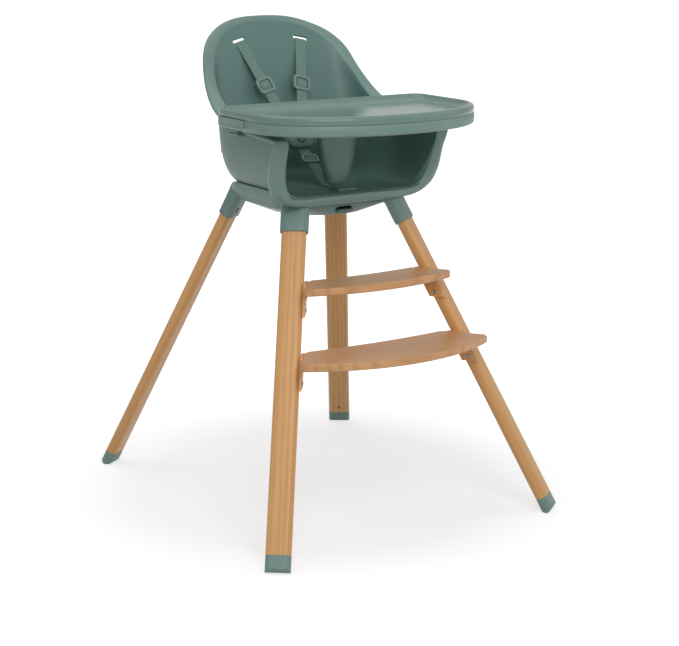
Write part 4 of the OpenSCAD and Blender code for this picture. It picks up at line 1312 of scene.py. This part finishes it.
@dataclass
class Tray:
    """The tray base, its lift-out insert, the crotch post and the side latches."""

    half_w: float = 224.0
    rear_y: float = -15.0
    side_y: float = -157.7
    front_d: float = 147.0
    corner: float = 26.0
    low: float = 723.7
    base_top: float = 743.5
    insert_low: float = 743.8
    insert_top: float = 758.8
    dish: float = 747.5
    post_y: float = -72.0
    post_keys: tuple[tuple[float, float, float], ...] = (
        (86, 36, 723.4), (84, 36, 700), (69.3, 35, 653.6), (50, 30, 622), (44, 27, 613), (38, 23, 609),
        (28, 15, 607.2))
    post_power: float = 0.85
    latch_at: tuple[float, float] = (204.9, -66.0)
    latch_hole: Box = ((-6.6, -12.5, -5), (6.6, 12.5, 5))
    latch_wall: tuple[float, float] = (213, 236)
    rail_x: float = 191.1
    rail: Box = ((-2.5, -30, -4), (2.5, 30, 4))

    def ring(self, inset: float, z: float, rear: float = 0.0) -> Ring:
        """The tray's outline at a height.

        Args:
            inset: how far it is drawn in all round, in millimetres.
            z: the height.
            rear: how much more the rear edge is drawn in.
        Returns:
            The outline's points.
        """
        w, d, r = self.half_w - inset, self.front_d - inset, max(3.0, self.corner - inset * 0.6)
        y = self.rear_y - inset - rear
        side = y - r - self.side_y
        quarter = [(r * math.cos(a), r * math.sin(a)) for a in [math.pi / 2 * k / 9 for k in range(10)]]
        bow = [math.pi * (1 + k / 72) for k in range(73)]
        points = [(w * math.cos(a), self.side_y + d * math.sin(a)) for a in bow]
        points += [(w, self.side_y + side * k / 6) for k in range(1, 6)]
        points += [(w - r + c, y - r + s) for c, s in quarter]
        points += [((w - r) * (1 - 2 * k / 10), y) for k in range(1, 10)]
        points += [(r - w - s, y - r + c) for c, s in quarter]
        points += [(-w, y - r - side * k / 6) for k in range(1, 6)]
        return [Vector((px, py, z)) for px, py in points]

    def skin(self, name: str, profile: Sequence[tuple[float, ...]]) -> Piece:
        """Lofts a closed profile of inset, height and rear inset round the outline."""
        return lofted(name, [self.ring(*step) for step in profile], angle=50)

    def insert(self) -> Piece:
        """The dished insert with its rounded rim and sloping inner wall.

        Returns:
            The insert as an object.
        """
        low, top, dish = self.insert_low, self.insert_top, self.dish
        return self.skin("tray_insert_moulding", [
            (24, low + 1.4, 15), (3.4, low + 1.4), (3.0, low + 1.2), (3.0, low), (0.6, low), (0, low + 0.6),
            (0, top - 8.6), (0.25, top - 6.4), (0.9, top - 4.4), (2.0, top - 2.7), (3.5, top - 1.3),
            (5.2, top - 0.45), (7.2, top - 0.05), (9.0, top), (9.9, top - 0.2), (10.5, top - 0.8, 0.2),
            (11.2, top - 2.2, 0.8), (13.4, top - 5.8, 3.6), (16.2, dish + 2.8, 7.6), (19.2, dish + 1.1, 11.0),
            (21.5, dish + 0.25, 13.0), (24.5, dish, 14.5), (60, dish, 15)])

    def base(self) -> Piece:
        """The tray base with its rounded lower edge, its latches' openings and its rails.

        Returns:
            The base as an object.
        """
        low, top = self.low, self.base_top
        base = self.skin("tray_base_moulding", [
            (60, low + 3), (3.6, low + 3), (3.0, low + 3.6), (3.0, top), (0.5, top), (0, top - 0.5), (0, low + 5.0),
            (0.4, low + 3.0), (1.5, low + 1.3), (3.2, low + 0.3), (5.5, low), (60, low)])
        x, y = self.latch_at
        holes = [box_cutter(moved(sx * x, y, low), *self.latch_hole, 1.0) for _, sx in SIDES]
        cut(base, [self.latch_cutter(sx) for _, sx in SIDES] + holes)
        rails = [box_cutter(moved(sx * self.rail_x, y, low - 3), *self.rail, 1.2) for _, sx in SIDES]
        return joined(base, rails, 45)

    def latch_cutter(self, sx: int, gap: float = 0.5) -> Piece:
        """The opening of a latch in the base's side wall.

        Args:
            sx: -1 for the child's right and 1 for the left.
            gap: the room round the latch in millimetres.
        Returns:
            The shape.
        """
        front, rear, top = -126 - gap, -31 + gap, self.base_top + 4.7
        face = [(rear, self.low + 4 - gap), (front, self.low + 8.5 - gap), (front, top), (rear, top)]
        return lofted("cutter", [[Vector((sx * x, y, z)) for y, z in face] for x in self.latch_wall])

    def post(self) -> Piece:
        """The crotch post: oval sections that draw in downwards to a rounded end.

        Returns:
            The post as an object.
        """
        keys = [Vector(k) for k in self.post_keys]
        ends = [keys[0], *keys, keys[-1]]
        sizes = [catmull(*ends[i:i + 4], k / 5) for i in range(len(keys) - 1) for k in range(5)] + [keys[-1]]

        def fuller(value: float) -> float:
            """A cosine or sine that squares the oval a little."""
            return math.copysign(abs(value) ** self.post_power, value)

        return lofted("crotch_post_moulding", [
            around(64, lambda c, s: (w / 2 * fuller(c), self.post_y + d / 2 * fuller(s), z))
            for w, d, z in sizes], angle=60)

    def build(self, finishes: Finishes) -> None:
        """Builds and dresses the tray.

        Args:
            finishes: the chair's finishes.
        """
        dress(self.insert(), "insert", finishes.tray, "tray_insert")
        dress(self.base(), "tray", finishes.green, "tray_base")
        dress(self.post(), "tray", finishes.green, "crotch_post")
        paint(finishes.steel, "post_screws")
        for side, _ in SIDES:
            remade(f"tray_latch_{side}", "button", f"latch_{side}", finishes.green, 0.7)


@dataclass
class Harness:
    """The five-point harness: webbing, sliders, keepers, buckle and tongues."""

    buckle: tuple[float, float] = (59.0, 676.0)
    slot: tuple[float, float, float] = (68.0, 168.5, 857.0)
    web_w: float = 22.0
    web_t: float = 1.6
    gap: float = 0.3
    size: tuple[float, float, float] = (54.0, 38.0, 12.0)
    button_r: float = 9.0
    button_out: float = 2.3
    well_r: float = 9.35
    neck: float = 11.0
    bar_t: float = 3.0
    travel: float = 9.0
    rise: float = 10.0
    fall: float = 46.0
    bend_at: float = 24.0
    exit_at: float = 75.0
    loose_end: float = 92.5
    floor: float = 600.0
    slider_at: float = 103.0
    slider_l: float = 31.0
    slider_side: float = 6.6
    slider_top: float = 3.5
    slider_rail: float = 4.8
    tongue_slot: Box = ((12, -6.5, -2), (52, 6.5, 2))
    stitch: tuple[float, float] = (2.1, 0.32)
    stitch_step: float = 2.6
    seam: float = 3.0
    cross: tuple[float, float] = (10, 24)
    keeper_shifts: tuple[float, float] = (-6.5, -4.0)
    screw_at: tuple[float, float, float] = (15.5, -105, 4.2)

    def tilt(self) -> float:
        """The harness plane's angle above the horizon, in degrees."""
        return math.degrees(math.atan2(self.slot[2] - self.buckle[1], self.slot[1] - self.buckle[0]))

    def plane(self) -> Matrix:
        """The harness frame: the origin in the buckle, Y up the chest and Z out of it."""
        return moved(0, *self.buckle) @ turned(x=self.tilt())

    def shoulder_line(self) -> tuple[Vector, Vector]:
        """A shoulder strap's start in the harness frame, and its run to the slot.

        Returns:
            The start and the run in millimetres.
        """
        start = Vector((12, self.size[1] / 2 - 3))
        run = math.hypot(self.slot[1] - self.buckle[0], self.slot[2] - self.buckle[1])
        return start, Vector((self.slot[0], run)) - start

    def shoulder_length(self) -> float:
        """The strap's length from the buckle to the slot, in millimetres."""
        return self.shoulder_line()[1].length

    def shoulder_frame(self, sx: int) -> Matrix:
        """A shoulder strap's frame: Y up the strap, Z out of the chest.

        Args:
            sx: -1 for the child's right and 1 for the left.
        Returns:
            The frame's matrix.
        """
        start, run = self.shoulder_line()
        lean = math.degrees(math.atan2(run.x, run.y))
        return self.plane() @ mirrored(sx) @ moved(start.x, start.y, 0) @ turned(z=-lean)

    def waist_frame(self, sx: int) -> Matrix:
        """A waist strap's frame: X out along the strap."""
        return self.plane() @ mirrored(sx) @ turned(z=self.rise)

    def bar_x(self) -> float:
        """The place of the tongue's bar along the waist strap."""
        return self.size[0] / 2 + self.neck + self.travel

    def waist_exit(self) -> Matrix:
        """From the waist frame to the strap's exit through the seat."""
        return moved(self.bar_x() + self.bend_at, 0, 0) @ turned(y=self.fall) @ moved(self.exit_at, 0, 0)

    def ribbon(self, name: str, route: Sequence[Sequence[float]], place: Matrix, bend: float,
               side: Vector = Vector((1, 0, 0))) -> Piece:
        """A strap along a route, with rounded edges and its length and width as UV in metres.

        Args:
            name: the piece's name.
            route: the strap's middle line in its own frame, in millimetres.
            place: the frame's matrix.
            bend: the radius at the route's corners.
            side: the direction across the strap.
        Returns:
            The strap as an object.
        """
        line = filleted([Vector(p) for p in route], bend)
        w, t = self.web_w / 2, self.web_t / 2
        half = [(-w, 0), (-w + 0.25, t * 0.75), (-w + 0.8, t), (-w * 0.35, t * 1.04)]
        edge = half + [(-x, y) for x, y in half[::-1]] + [(-x, -y) for x, y in half[1:]]
        edge += [(x, -y) for x, y in half[:0:-1]]
        bm = bmesh.new()
        uv = bm.loops.layers.uv.new("UVMap")
        rows, marks, run = [], [], 0.0
        for i, p in enumerate(line):
            face = (line[min(i + 1, len(line) - 1)] - line[max(i - 1, 0)]).normalized().cross(side).normalized()
            run += (p - line[i - 1]).length if i else 0.0
            rows.append([bm.verts.new(place @ ((p + side * x + face * y) * MM)) for x, y in edge])
            marks.append(run)
        for i in range(len(rows) - 1):
            for k, (x, _) in enumerate(edge):
                m = (k + 1) % len(edge)
                made = bm.faces.new((rows[i][k], rows[i][m], rows[i + 1][m], rows[i + 1][k]))
                for loop, spot in zip(made.loops, ((x, marks[i]), (edge[m][0], marks[i]), (edge[m][0], marks[i + 1]),
                                                   (x, marks[i + 1]))):
                    loop[uv].uv = Vector(spot) * MM
        for row, v in ((rows[0][::-1], marks[0]), (rows[-1], marks[-1])):
            for loop in bm.faces.new(row).loops:
                loop[uv].uv = (0.0, v * MM)
        return from_bmesh(name, outward(bm), 60)

    def pockets(self) -> list[Piece]:
        """The slots that the tongues and straps enter in the buckle, and the room under its button.

        Returns:
            The shapes.
        """
        tools = []
        w, room, low = self.web_w / 2 + self.gap, self.web_t / 2 + self.gap, -self.size[1] / 2
        for _, sx in SIDES:
            tools.append(box_cutter(self.waist_frame(sx), *self.tongue_slot))
            tools.append(box_cutter(self.shoulder_frame(sx), (-w, -0.3, -room), (w, 30, room)))
        tools.append(box_cutter(self.plane(), (-w, low - 10, -room), (w, low + 8.3, room)))
        return tools + [lofted("cutter", [disc(self.well_r, z, 48) for z in (-2.1, 1.2)], self.plane())]

    def half_buckle(self, name: str, sign: int) -> Piece:
        """One half of the buckle: a rounded puck, the front one with a round well for the button.

        Args:
            name: the piece's name.
            sign: 1 for the front half and -1 for the back.
        Returns:
            The half as an object.
        """
        half_w, half_h, deep = (s / 2 for s in self.size)

        def rounded(inset: float, z: float) -> Ring:
            """The buckle's outline at a height."""
            return oblong(half_w - inset, half_h - inset, sign * z, 3.6, 80)

        rings = [rounded(*step) for step in ((0.5, 0.15), (0, 0.6), (0, deep - 2.6), (0.5, deep - 1.2),
                                             (1.6, deep - 0.35), (3.4, deep))]
        if sign > 0:
            r = self.button_r + 0.5
            collar = ((1.6, deep + 0.35), (0.6, deep + 0.3), (0, deep - 0.3), (0, 0.8))
            rings += [disc(r + more, z, 80, 0.5) for more, z in collar]
        else:
            rings = [rounded(9, 0.15), *rings, rounded(9, deep + 0.2)]
        return cut(lofted(name, rings, self.plane(), 50), self.pockets())

    def button(self) -> Piece:
        """The buckle's round button, dished for a thumb.

        Returns:
            The button as an object.
        """
        r, top = self.button_r, self.size[2] / 2 + self.button_out + self.gap
        steps = ((r, self.gap), (r, top - 0.9), (r - 0.3, top - 0.35), (r - 0.9, top), (r - 1.8, top - 0.1),
                 (r - 4, top - 0.75), (2, top - 1.1))
        return lofted("buckle_button_moulding", [disc(q, z, 48) for q, z in steps], self.plane(), 45)

    def stitches(self, name: str, place: Matrix, rows: Sequence[tuple[Sequence[float], Sequence[float]]],
                 finishes: Finishes, repeater: Repeater) -> None:
        """Sews rows of stitches on a strap's face.

        Args:
            name: the piece's name.
            place: the strap's frame, with Z out of its face.
            rows: the start and end of each row in the frame, in millimetres.
            finishes: gives the thread.
            repeater: sets the stitches.
        """
        places, face = [], self.web_t / 2 + 0.08
        flip = Matrix.Diagonal((1, -1, 1, 1)) if place.determinant() < 0 else HOME
        for start, end in rows:
            run = Vector(end) - Vector(start)
            count = max(2, round(run.length / self.stitch_step))
            turn = Matrix.Rotation(math.atan2(run.y, run.x), 4, "Z")
            for k in range(count):
                p = Vector(start) + run * ((k + 0.5) / count)
                places.append(place @ moved(p.x, p.y, face) @ turn @ flip)
        sewn = repeater.build(name, stitch_form(*self.stitch), places, finishes.thread)
        dress(sewn, "seat", finishes.thread)

    def slider(self, name: str, place: Matrix, length: float) -> Piece:
        """A strap slider: a rounded frame over the webbing, side rails and a bar under it.

        Args:
            name: the piece's name.
            place: its frame, with Y along the strap and Z out of it.
            length: its length along the strap in millimetres.
        Returns:
            The slider as an object.
        """
        half_w, half_l, low = self.web_w / 2 + self.slider_side, length / 2, self.web_t / 2 + self.gap
        top, rail = self.slider_top, self.slider_rail
        profile = [(0.0, low + 0.9), (0.0, top - 1.0), (0.35, top - 0.3), (1.1, top), (rail - 1.1, top),
                   (rail - 0.35, top - 0.3), (rail, top - 1.0), (rail, low + 0.5), (rail - 0.5, low), (0.8, low)]
        rings = [oblong(half_w - inset, half_l - inset, z, 6, 56) for inset, z in profile]
        loop = lofted(name, rings, place, 50, True)
        boxes = [((x, -half_l + 3.5, -2.6), (x + rail, half_l - 3.5, low + 1)) for x in (-half_w, half_w - rail)]
        boxes.append(((-half_w + 1, -2.6, -2.6), (half_w - 1, 2.6, -low)))
        return joined(loop, [box_cutter(place, near, far, 0.7) for near, far in boxes], 50)

    def sliders(self, finishes: Finishes) -> None:
        """Builds the shoulder and crotch sliders, each with the webbing that humps over its bar.

        Args:
            finishes: the chair's finishes.
        """
        places = [(f"shoulder_slider_{side}", f"slider_{side}", self.shoulder_frame(sx) @ moved(0, self.slider_at, 0),
                   self.slider_l) for side, sx in SIDES]
        places.append(("crotch_slider", "crotch_slider", moved(0, 21.5, 642.0) @ turned(x=32.0), 23.0))
        hump = [(0, y, z) for y, z in ((-7.4, 0.15), (-3.6, 2.0), (3.6, 2.0), (7.4, 0.15))]
        for node, body, at, length in places:
            dress(self.slider(f"{node}_moulding", at, length), body, finishes.green, node)
            dress(self.ribbon(f"{node}_webbing", hump, at, 2.2), body, finishes.webbing)

    def shoulder(self, side: str, sx: int, finishes: Finishes, repeater: Repeater) -> None:
        """Builds a shoulder strap and the boxed cross sewn on it.

        Args:
            side: right or left, as it is in the names.
            sx: -1 for the child's right and 1 for the left.
            finishes: the chair's finishes.
            repeater: sets small forms on points.
        """
        at, length, x = self.shoulder_frame(sx), self.shoulder_length(), self.web_w / 2 - self.seam
        route = [(0, 0, 0), (0, length - 1.4, 0), (0, length - 2.2, -7), (0, length - 5, -18)]
        strap = self.ribbon(f"shoulder_webbing_{side}", route, at, 2.4)
        dress(strap, "seat", finishes.webbing, f"shoulder_strap_{side}")
        near, far = self.cross
        rows = [((-x, y), (x, y)) for y in (near, far)] + [((s, near), (s, far)) for s in (-x, x)]
        rows += [((-x, near), (x, far)), ((-x, far), (x, near))]
        self.stitches(f"shoulder_stitches_{side}", at, rows, finishes, repeater)

    def waist(self, side: str, sx: int, finishes: Finishes, repeater: Repeater) -> None:
        """Builds a waist strap, looped round its tongue's bar and sewn down.

        Args:
            side: right or left, as it is in the names.
            sx: -1 for the child's right and 1 for the left.
            finishes: the chair's finishes.
            repeater: sets small forms on points.
        """
        at, bar, half, x = self.waist_frame(sx), self.bar_x(), self.web_t / 2, self.web_w / 2 - self.seam
        near, lift = bar - self.gap - half, self.bar_t / 2 + self.gap + half
        far, bend, fall = bar + self.bar_t + self.travel + 2.5, bar + self.bend_at, math.radians(self.fall)
        tail = (bend + self.loose_end * math.cos(fall), -self.loose_end * math.sin(fall))
        route = [tail, (bend, 0), (far + 4.5, 0), (far + 0.8, lift), (near, lift), (near, -lift),
                 (far + 0.8, -lift), (far + 1.4, -0.6)]
        strap = self.ribbon(f"waist_webbing_{side}", [(px, 0, pz) for px, pz in route], at, 1.3, Vector((0, 1, 0)))
        dress(strap, "seat", finishes.webbing, f"waist_strap_{side}")
        self.stitches(f"waist_stitches_{side}", at, [((far + 7, -x), (far + 7, x))], finishes, repeater)

    def fittings(self, side: str, sx: int, finishes: Finishes) -> None:
        """Builds one side's keepers behind the seat, close against it, and its tongue.

        Args:
            side: right or left, as it is in the names.
            sx: -1 for the child's right and 1 for the left.
            finishes: the chair's finishes.
        """
        keeper = remade(f"shoulder_anchor_{side}", "moulding", "seat", finishes.dark, 1.0)
        nudge(keeper, self.shoulder_frame(sx), (0, self.keeper_shifts[0], 0))
        keeper = remade(f"waist_anchor_{side}", "moulding", "seat", finishes.dark, 1.0)
        nudge(keeper, self.waist_frame(sx) @ self.waist_exit(), (self.keeper_shifts[1], 0, 0))
        remade(f"buckle_tongue_{side}", "moulding", f"tongue_{side}", finishes.green, 0.6)

    def crotch(self, finishes: Finishes) -> None:
        """Builds the crotch strap from the buckle down to the seat's floor, and its anchor.

        Args:
            finishes: the chair's finishes.
        """
        t, flat = math.radians(self.tilt()), self.floor + self.gap + self.web_t / 2
        buckle, chest = Vector((0, *self.buckle)), Vector((0, math.cos(t), math.sin(t)))
        route = [buckle - chest * 11, buckle - chest * 20, (0, 4, 631), (0, -34, flat + 1.2), (0, -44, flat),
                 (0, -106, flat)]
        dress(self.ribbon("crotch_webbing", route, HOME, 9), "seat", finishes.webbing, "crotch_strap")
        remade("crotch_anchor", "moulding", "seat", finishes.green, 0.7)

    def build(self, finishes: Finishes, repeater: Repeater) -> None:
        """Builds and dresses the harness.

        Args:
            finishes: the chair's finishes.
            repeater: sets small forms on points.
        """
        for side, sx in SIDES:
            self.shoulder(side, sx, finishes, repeater)
            self.waist(side, sx, finishes, repeater)
            self.fittings(side, sx, finishes)
        dress(self.half_buckle("buckle_front_moulding", 1), "seat", finishes.green, "buckle_body")
        dress(self.half_buckle("buckle_back_moulding", -1), "seat", finishes.dark, "buckle_back")
        dress(self.button(), "button", finishes.dark, "buckle_button")
        self.crotch(finishes)
        self.sliders(finishes)
        x, y, z = self.screw_at
        places = [moved(sx * x, y, self.floor + z) for _, sx in SIDES]
        heads = repeater.build("crotch_screw_heads", screw_form(2.4, 1.1, 1.5), places, finishes.steel)
        dress(heads, "seat", finishes.painted, "crotch_anchor_screws")


@dataclass
class Studio:
    """A plain pale room with soft light and the camera."""

    yaw: float = -32.38
    pitch: float = 13.567
    eye: tuple[float, float, float] = (-1.6754, -2.7236, 1.0999)
    lens: float = 90.8
    sky: float = 0.33
    mirror_sky: float = 0.66
    near_glow: float = 0.53
    far_glow: float = 1.0
    floor_tone: float = 0.6
    floor_half: float = 14
    floor_fade: tuple[float, float] = (0.35, 1.0)
    lamps: tuple[tuple[str, tuple[float, float, float], float, float, float], ...] = (
        ("key", (-1.0, -2.7, 2.7), 0.6, 2.2, 44), ("fill", (2.6, -1.8, 1.8), 0.6, 2.4, 10),
        ("top", (-0.4, 0.8, 3.2), 0.5, 2.6, 17))

    def camera(self) -> None:
        """Creates the camera."""
        yaw, pitch = math.radians(self.yaw), math.radians(self.pitch)
        ahead = Vector((-math.sin(yaw) * math.cos(pitch), math.cos(yaw) * math.cos(pitch), -math.sin(pitch)))
        right = Vector((math.cos(yaw), math.sin(yaw), 0))
        data = bpy.data.cameras.new("camera")
        data.lens, data.sensor_width, data.sensor_fit = self.lens, 36.0, "HORIZONTAL"
        data.clip_start, data.clip_end = 0.05, 60
        piece = bpy.data.objects.new("camera", data)
        turn = Matrix((right, right.cross(ahead), -ahead)).transposed().to_4x4()
        piece.matrix_world = Matrix.Translation(Vector(self.eye)) @ turn
        bpy.context.scene.collection.objects.link(piece)
        bpy.context.scene.camera = piece

    def seen(self, g: Graph, gloss: float = 1.0) -> Socket:
        """One for rays from the camera and through clear pieces, and the given share off gloss.

        Args:
            g: the nodes of a material or the world.
            gloss: the share for rays off gloss.
        Returns:
            The socket that gives the share.
        """
        path = g.add("LightPath").outputs
        both = g.math("MAXIMUM", path["Is Camera Ray"], g.math("MULTIPLY", path["Is Glossy Ray"], gloss))
        return g.math("MAXIMUM", both, path["Is Transmission Ray"])

    def floor(self) -> None:
        """Creates the pale floor, white from further away."""
        bm = bmesh.new()
        bmesh.ops.create_grid(bm, x_segments=1, y_segments=1, size=self.floor_half)
        mesh = bpy.data.meshes.new("floor")
        bm.to_mesh(mesh)
        bm.free()
        floor = add_object("floor", mesh)
        floor.location.z = -0.0005
        g = Graph(bpy.data.materials.new("pale_floor"))
        reach = g.add("VectorMath", operation="LENGTH", Vector=g.place()).outputs["Value"]
        glow = g.math("MULTIPLY", self.seen(g), g.spread(reach, *self.floor_fade, self.near_glow, self.far_glow))
        mesh.materials.append(g.finish(Base_Color=(*[self.floor_tone] * 3, 1), Roughness=0.9, Specular_IOR_Level=0.1,
                                       Emission_Color=(1, 1, 1, 1), Emission_Strength=glow))

    def world(self) -> None:
        """Creates the soft light from all round, white where it is seen."""
        g = Graph(bpy.data.worlds.new("room"), "Background", "OutputWorld")
        seen = self.seen(g, (self.mirror_sky - self.sky) / (1 - self.sky))
        bpy.context.scene.world = g.finish(Color=(1, 1, 1, 1), Strength=g.spread(seen, 0, 1, self.sky, 1.0))

    def lamp(self, name: str, place: Sequence[float], aim: float, size: float, power: float) -> None:
        """Creates one soft square lamp.

        Args:
            name: the lamp's name.
            place: where it hangs, in metres.
            aim: the height over the origin that it faces.
            size: its side in metres.
            power: its power in watts.
        """
        data = bpy.data.lights.new(name, "AREA")
        data.size, data.energy, data.shape = size, power, "SQUARE"
        piece = bpy.data.objects.new(name, data)
        piece.location = place
        piece.rotation_euler = (Vector((0, 0, aim)) - Vector(place)).to_track_quat("-Z", "Y").to_euler()
        bpy.context.scene.collection.objects.link(piece)

    def build(self) -> None:
        """Builds the room."""
        bpy.context.scene.view_settings.view_transform = "Standard"
        self.camera()
        self.floor()
        self.world()
        for lamp in self.lamps:
            self.lamp(*lamp)


def main() -> None:
    """Builds the room and every sub-assembly in order."""
    logging.basicConfig(level=logging.INFO, format="%(name)s: %(message)s")
    Studio().build()
    finishes, repeater, harness = Finishes(), Repeater(), Harness()
    legs, seat = Legs(), Seat()
    legs.build(finishes)
    Hub().build(finishes, legs, seat)
    Steps().build(finishes, repeater)
    seat.build(finishes, harness)
    Tray().build(finishes)
    harness.build(finishes, repeater)


if __name__ == "__main__":
    main()
